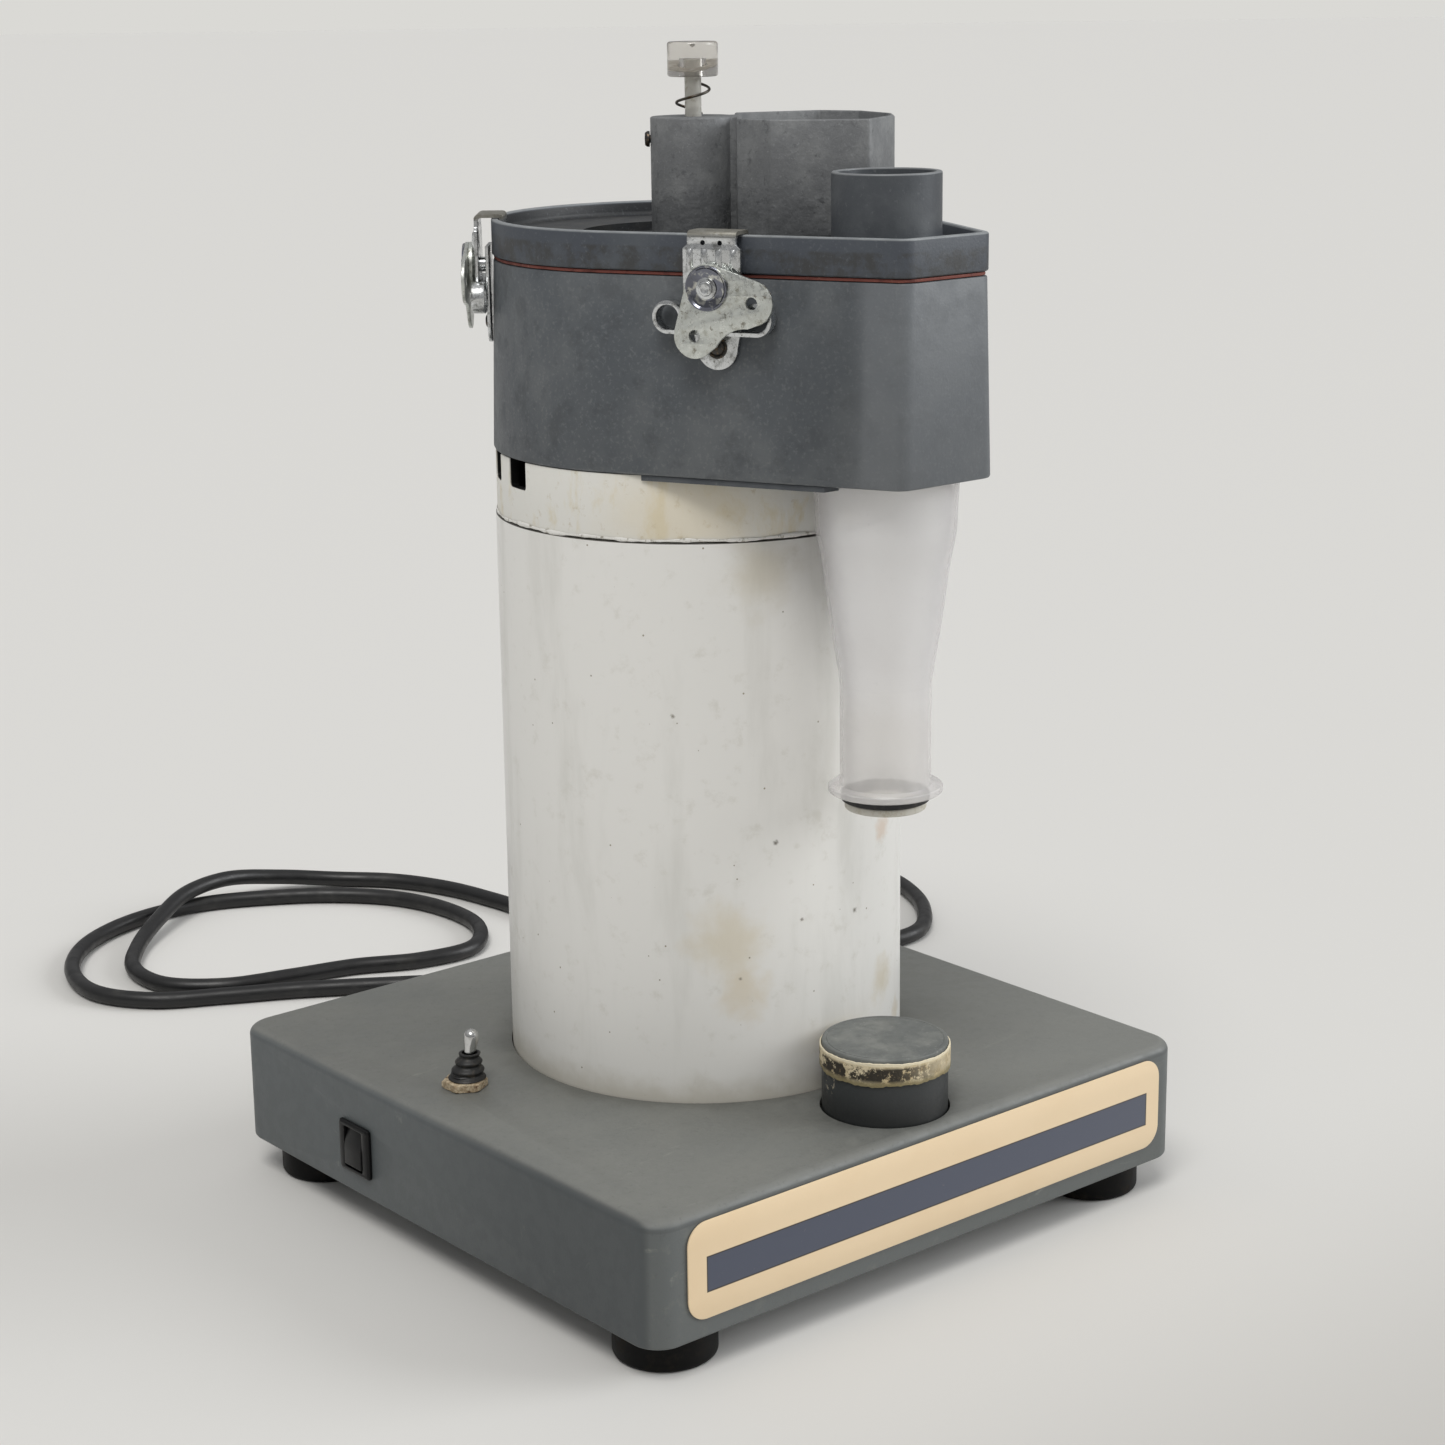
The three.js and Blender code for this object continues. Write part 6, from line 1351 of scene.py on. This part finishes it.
def make_cyclone():
    """A smooth wall: the cone's radii follow a curve through the measured ones, and the inside is the
    same curve less the wall. A seal and a ring lie under its foot."""
    wall, barrel, neck, neck_bore, top, seat = 2.5, 28.2, 18.0, 15.5, 402.5, 399.5
    levels = np.array([322, 311.7, 303, 292, 268.3, 247, 243.0])
    radii = np.array([barrel, 27.7, 27.2, 25.1, 21.9, 18.5, neck])
    curve = threaded(np.stack([radii, levels, 0 * radii], -1), 8)[:, :2]
    outer = [(barrel, seat), (barrel, 330.0), *curve.tolist(), (neck, 206.4), (18.3, 203.2)]
    foot_r, foot_low, foot_top, edge = 22.7, 199.8, 202.6, 0.5
    foot = [(19.4, foot_top), (foot_r - edge, foot_top), (foot_r, foot_top - edge), (foot_r, foot_low + edge),
            (foot_r - edge, foot_low), (15.9, foot_low), (neck_bore, foot_low + 0.4)]
    inner = [(neck_bore, 243.0), *(curve[::-1] - (wall, 0)).tolist(), (barrel - wall, top - 0.4), (26.1, top)]
    flange = [(29.8, top), (30.2, top - 0.4), (30.2, seat)]
    shell = lathe("cyclone_wall", outer + foot + inner + flange, 144, BOTTLE_AXIS, endless=True)
    link("cyclone_wall", worked(shell, [brick("way", *AIR_WAY)]), "mill", ["cyclone"], CYCLONE, 40)
    seal = eased([(12.4, 196.3), (17.5, 196.3), (17.5, 199.5), (12.4, 199.5)], 0.35, 4)
    link("bottle_seal", lathe("bottle_seal", seal, 96, BOTTLE_AXIS, True), "mill", ["cyclone_gasket"],
         SEAL)
    ring = eased([(12.4, 193), (16.2, 193), (16.2, 196), (12.4, 196)], 0.6, 4)
    link("bottle_ring", lathe("bottle_ring", ring, 96, BOTTLE_AXIS, True), "mill", ["cyclone_ring"],
         RING)


# Latches
def stood(mesh):
    """A latch piece drawn face up, its outward side then turned to -Y."""
    return moved(mesh, turned(90, "X"))


def latch_base():
    """Base plate with a round foot, the curled spring strip standing on it, rivets and the post."""
    sheet = eased([(-10, 8), (-10, -16), (-LATCH_FOOT_R, LATCH_FOOT_Y)], 2, 5, False)
    foot = arc((0, LATCH_FOOT_Y), LATCH_FOOT_R, 180, 360, 32)
    outline = np.concatenate([sheet[:-1], foot, (sheet[:-1] * (-1, 1))[::-1]])
    parts = [plate("sheet", [outline], 0.3, 1.8, 0.25)]
    curl_x, curl_y, curl_r, half = 18.3, -11.7, 5.5, 0.8
    centre = np.concatenate([arc((-curl_x, curl_y), curl_r, -378, -90, 40),
                             arc((curl_x, curl_y), curl_r, -90, 198, 40)])
    run = np.gradient(centre, axis=0)
    normal = np.stack([-run[:, 1], run[:, 0]], -1) / np.hypot(run[:, 0], run[:, 1])[:, None]
    strip = np.concatenate([centre + normal * half, (centre - normal * half)[::-1]])
    parts.append(plate("strip", [strip], 1.5, 6.8, 0.15))
    post = [(0, 0.3), (3, 0.3), (3, 10.7), (4.1, 10.7), (4.1, 11.1), (2.9, 11.3), (2.7, 12.0), (1.8, 12.3),
            (1.2, 12.1), (0, 11.9)]
    parts.append(lathe("post", eased(post, (0, 0, .1, .2, .2, .3, .4, .4, .3, 0), 4, False), 48, (0, 0)))
    return stood(joined("latch_base", parts))


def latch_hook():
    """Hook plate with holes, ribs pressed out of it, and the bridge and lip bent over the rim."""
    half, neck, top, low, thick = 11.85, 10.0, 19.3, -14.0, 1.5
    outline = eased([(-half, low), (half, low), (half, 14.2), (neck, 15.6), (neck, top), (-neck, top),
                     (-neck, 15.6), (-half, 14.2)], (3, 3, 1, 1, 0, 0, 1, 1), 4)
    slot = eased([(-3.4, -8.4), (3.4, -8.4), (3.4, 3.4), (-3.4, 3.4)], 3.3, 8)
    holes = [circle(0.9, x, 16.4, 20) for x in (-3.5, 3.5)]
    parts = [plate("face", [outline, slot, *holes], 4.5, 6.0, 0.2)]

    flat = eased([(6.0, top - 1.2), (6.0, top - 0.4), (5.75, top + 0.4), (5.2, top + 1.0), (4.5, top + 1.35),
                  (3.8, top + thick), (-4.0, top + thick), (-5.3, top + 1.3), (-6.0, top + 0.5),
                  (-6.0, top - 5), (-4.6, top - 5), (-4.6, top - 0.6), (-4.2, top), (4.3, top),
                  (4.5, top - 1.2)], 0.3, 3)
    middle = flat.mean(0)
    drawn_in = middle + (flat - middle) * (1 - 0.2 / 6)
    parts.append(skin("bridge", np.stack([
        np.stack([np.full(len(flat), x), section[:, 1], section[:, 0]], -1)
        for x, section in ((-neck, drawn_in), (0.2 - neck, flat), (neck - 0.2, flat), (neck, drawn_in))])))

    rib_half, rib_height, pitch = 1.48, 1.15, half / 2
    across = np.linspace(-1, 1, 13)
    level = np.linspace(6.2, 14.0, 13)[:, None]
    fade = np.sin(np.pi * np.clip((level - 6.0) / 8.1, 0, 1)) ** 0.3
    swell = rib_height * (1 - across ** 2) * fade
    face = np.stack(np.broadcast_arrays(rib_half * across, level, 5.9 + swell), -1)
    back = np.stack(np.broadcast_arrays(rib_half * across[::-1], level, 5.7), -1)
    rib = np.concatenate([face, back], 1)
    parts += [skin("rib", rib + (-half + pitch * (place + 0.5), 0, 0)) for place in range(4)]
    return stood(joined("latch_hook", parts))


def latch_wing():
    """Butterfly outline of two round lobes, with a waist between them, over a dished round cam."""
    lean, spread, reach, hub, lobe, waist, hole = -61.2, 45.5, 18.8, 9.0, 8.5, 14.0, 2.3
    left, right = lean - spread, lean + spread
    left_tip, right_tip = (polar(reach, math.radians(turn)) for turn in (left, right))
    away = reach * math.cos(math.radians(spread)) + lobe + waist - 3
    outline = np.concatenate([
        arc((0, 0), hub, right + 91.5, left + 268.5, 20),
        arc(left_tip, lobe, left + 271.5, left + 422, 24),
        arc(polar(away, math.radians(lean)), waist, 151, 87, 16),
        arc(right_tip, lobe, right - 62, right + 88.5, 24),
    ])
    holes = [circle(3.3, sides=40), circle(hole, *left_tip), circle(hole, *right_tip)]
    cam = eased([(3.3, 6.3), (8.0, 6.3), (9.0, 7.2), (9.0, 8.9), (7.6, 8.9), (5.2, 7.8), (3.3, 7.8)],
                (.2, .5, .6, .3, .5, .6, .2), 4)
    return stood(joined("latch_wing", [plate("wing", [outline, *holes], 8.9, 10.4, 0.3),
                                       lathe("cam", cam, 64, (0, 0), True)]))


def latch_cup():
    """The polished dished cup on the cam: radius against height above the wall, with a rolled rim."""
    profile = eased([(3.4, 10.3), (8.3, 10.3), (8.6, 10.7), (8.4, 11.5), (7.9, 11.5), (7.2, 10.8),
                     (4.6, 10.55), (3.4, 10.55)], (.1, .2, .3, .25, .25, .6, .4, .1), 4)
    return stood(lathe("latch_cup", profile, 64, (0, 0), True))


def latch_rivet():
    """The fixing rivet in the foot, a low dome in a shallow washer."""
    profile = [(0, 1.6), (4.3, 1.6), (4.3, 2.0), (3.3, 2.1), (3.0, 1.9), (2.8, 2.3), (2.1, 2.9), (1.2, 3.15),
               (0, 3.2)]
    return stood(lathe("latch_rivet", profile, 40, (0, LATCH_FOOT_Y)))


def make_latches():
    """Three pieces, and a cup and a rivet, for each of the four places round the wall."""
    foot_level = LATCH_LEVEL + LATCH_FOOT_Y - LATCH_FOOT_R
    wall = HEAD_WIDE - HEAD_TAPER + HEAD_TAPER * (HEAD_TOP - foot_level) / (HEAD_TOP - HEAD_LOW)
    turns = {"front_left": math.pi + NOSE_TURN, "front_right": -NOSE_TURN,
             "back_left": math.radians(140), "back_right": math.radians(40)}
    slides = {"front_left": 48.5, "front_right": -33.0}
    drawn = {"base": (latch_base(), ZINC), "hook": (latch_hook(), ZINC), "wing": (latch_wing(), WING),
             "cup": (latch_cup(), CUP), "rivet": (latch_rivet(), SCREW)}
    for side, out in turns.items():
        slide = slides.get(side, 0.0)
        place = shift(AXIS_X + wall * math.cos(out) - slide * math.sin(out),
                      wall * math.sin(out) + slide * math.cos(out), LATCH_LEVEL)
        place = place @ Matrix.Rotation(out + math.pi / 2, 4, "Z")
        for kind, (mesh, look) in drawn.items():
            name = f"latch_{side}_{kind}"
            body = {"base": "mill", "rivet": "mill", "cup": f"latch_{side}_wing"}.get(kind, name)
            copy = moved(mesh.copy(), place)
            copy.name = name + "_shape"
            link(copy.name, copy, body, [name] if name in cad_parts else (), look, 40)


make_head()
make_nose_shade_sheet()
make_gasket()
make_lid()
make_outlet()
make_hopper()
make_screw()
make_plunger()
make_cyclone()
make_latches()


# Finishes of the pieces kept from the frame
def finish_metal(name, colour, second, rough, size):
    """Bare metal in two tones."""
    look = Finish(name, colour, rough, 1.0)
    look.blend(look.patches((size, 5, 0.65), 0.45, 0.7), second)
    look.roughen(look.patches((size / 3, 5), 0.42, 0.68), rough + 0.18)
    return look.bump(look.noise(size / 8, 4), 0.03)


def finish_sheet():
    """Zinc sheet with its crystals."""
    look = Finish("zinc sheet", (168, 171, 173), 0.42, 1.0)
    look.blend(look.step(look.cells(16), 0.2, 0.75), (142, 146, 150))
    look.roughen(look.step(look.cells(11), 0.2, 0.8), 0.6)
    return look.bump(look.noise(2, 4), 0.02)


def finish_stator():
    """Stacked laminations with copper patches."""
    look = Finish("laminations", (92, 86, 80), 0.5, 0.8)
    layers = look.sum("SINE", look.sum("MULTIPLY", look.axis("z"), 9.0))
    look.blend(look.step(layers, 0.2, 0.9), (62, 58, 54))
    look.blend(look.patches((4, 6, 0.7), 0.52, 0.66), (142, 88, 56))
    return look.bump(layers, 0.08)


def finish_grit():
    """Coarse dark grit."""
    look = Finish("grit", (64, 60, 56), 0.85)
    grains = look.cells(0.9)
    look.blend(look.step(grains, 0.5, 0.15), (112, 106, 98))
    return look.bump(grains, 0.3)


def finish_mesh():
    """Steel sheet with dark round holes."""
    look = Finish("punched steel", (164, 166, 168), 0.35, 1.0)
    dots = look.step(look.cells(1.6), 0.36, 0.3)
    look.blend(dots, (20, 20, 20))
    return look.bump(dots, -0.1)


for nodes, look in (
        ("base_plate tube_ring motor_can", finish_sheet()),
        ("motor_plate", finish_outlet()),
        ("pedestal_guide impeller", finish_metal("cast steel", (150, 151, 152), (124, 124, 123), 0.42, 9)),
        ("motor_shaft upper_bearing lower_bearing",
         finish_metal("ground steel", (186, 187, 188), (160, 158, 154), 0.2, 5)),
        ("impeller_nut", finish_metal("plated nut", (190, 188, 180), (160, 154, 140), 0.28, 4)),
        ("motor_stator motor_armature", finish_stator()),
        ("cooling_fan", finish_plastic()),
        ("grinding_ring", finish_grit()),
        ("screen", finish_mesh())):
    for node in nodes.split():
        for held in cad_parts[node].material_slots:
            held.material = look.material


# Floor and light
def make_floor():
    """A wide flat floor, with painted shade towards the front."""
    half = 40000.0
    mesh = bpy.data.meshes.new("floor")
    mesh.from_pydata([(x * MM, y * MM, 0.0) for x, y in
                      ((-half, -half), (half, -half), (half, half), (-half, half))], [], [(0, 1, 2, 3)])
    look = Finish("floor", (216, 215, 212), 0.85)
    # Painted shade: the floor darker towards the front.
    look.blend(look.step(look.axis("y"), -120.0, -460.0), (190, 188, 184))
    mesh.materials.append(look.material)
    shown("floor", mesh)


def sun(name, towards, strength, spread, colour):
    """A far soft light that shines from a direction."""
    light = bpy.data.lights.new(name, "SUN")
    light.energy = strength
    light.angle = math.radians(spread)
    light.color = colour
    shown(name, light).rotation_euler = (-Vector(towards)).to_track_quat("-Z", "Y").to_euler()


def make_sky():
    """A pale surround, brighter overhead: the camera sees one tone and the object is lit by another."""
    world = bpy.data.worlds.new("surround")
    world.use_nodes = True
    nodes, links = world.node_tree.nodes, world.node_tree.links
    nodes.clear()
    path = nodes.new("ShaderNodeLightPath")
    lit, seen = nodes.new("ShaderNodeBackground"), nodes.new("ShaderNodeBackground")
    lit.inputs["Color"].default_value = (1.0, 1.0, 1.0, 1)
    parts = nodes.new("ShaderNodeSeparateXYZ")
    links.new(nodes.new("ShaderNodeTexCoord").outputs["Generated"], parts.inputs[0])
    rise = nodes.new("ShaderNodeMapRange")
    level_low, level_high, dim, bright = -0.1, 0.8, 0.18, 0.52
    for socket, value in zip(list(rise.inputs)[1:5], (level_low, level_high, dim, bright)):
        socket.default_value = value
    links.new(parts.outputs["Z"], rise.inputs[0])
    links.new(rise.outputs[0], lit.inputs["Strength"])
    seen.inputs["Color"].default_value = tone(218, 217, 213)
    mix, out = nodes.new("ShaderNodeMixShader"), nodes.new("ShaderNodeOutputWorld")
    links.new(path.outputs["Is Camera Ray"], mix.inputs[0])
    links.new(lit.outputs[0], mix.inputs[1])
    links.new(seen.outputs[0], mix.inputs[2])
    links.new(mix.outputs[0], out.inputs["Surface"])
    bpy.context.scene.world = world


make_floor()
make_sky()
sun("key", (-0.42, -0.3, 0.86), 1.42, 26, (1.0, 0.985, 0.96))
sun("fill", (0.75, -0.62, 0.42), 1.5, 34, (0.97, 0.985, 1.0))
bpy.context.scene.view_settings.view_transform = "Standard"
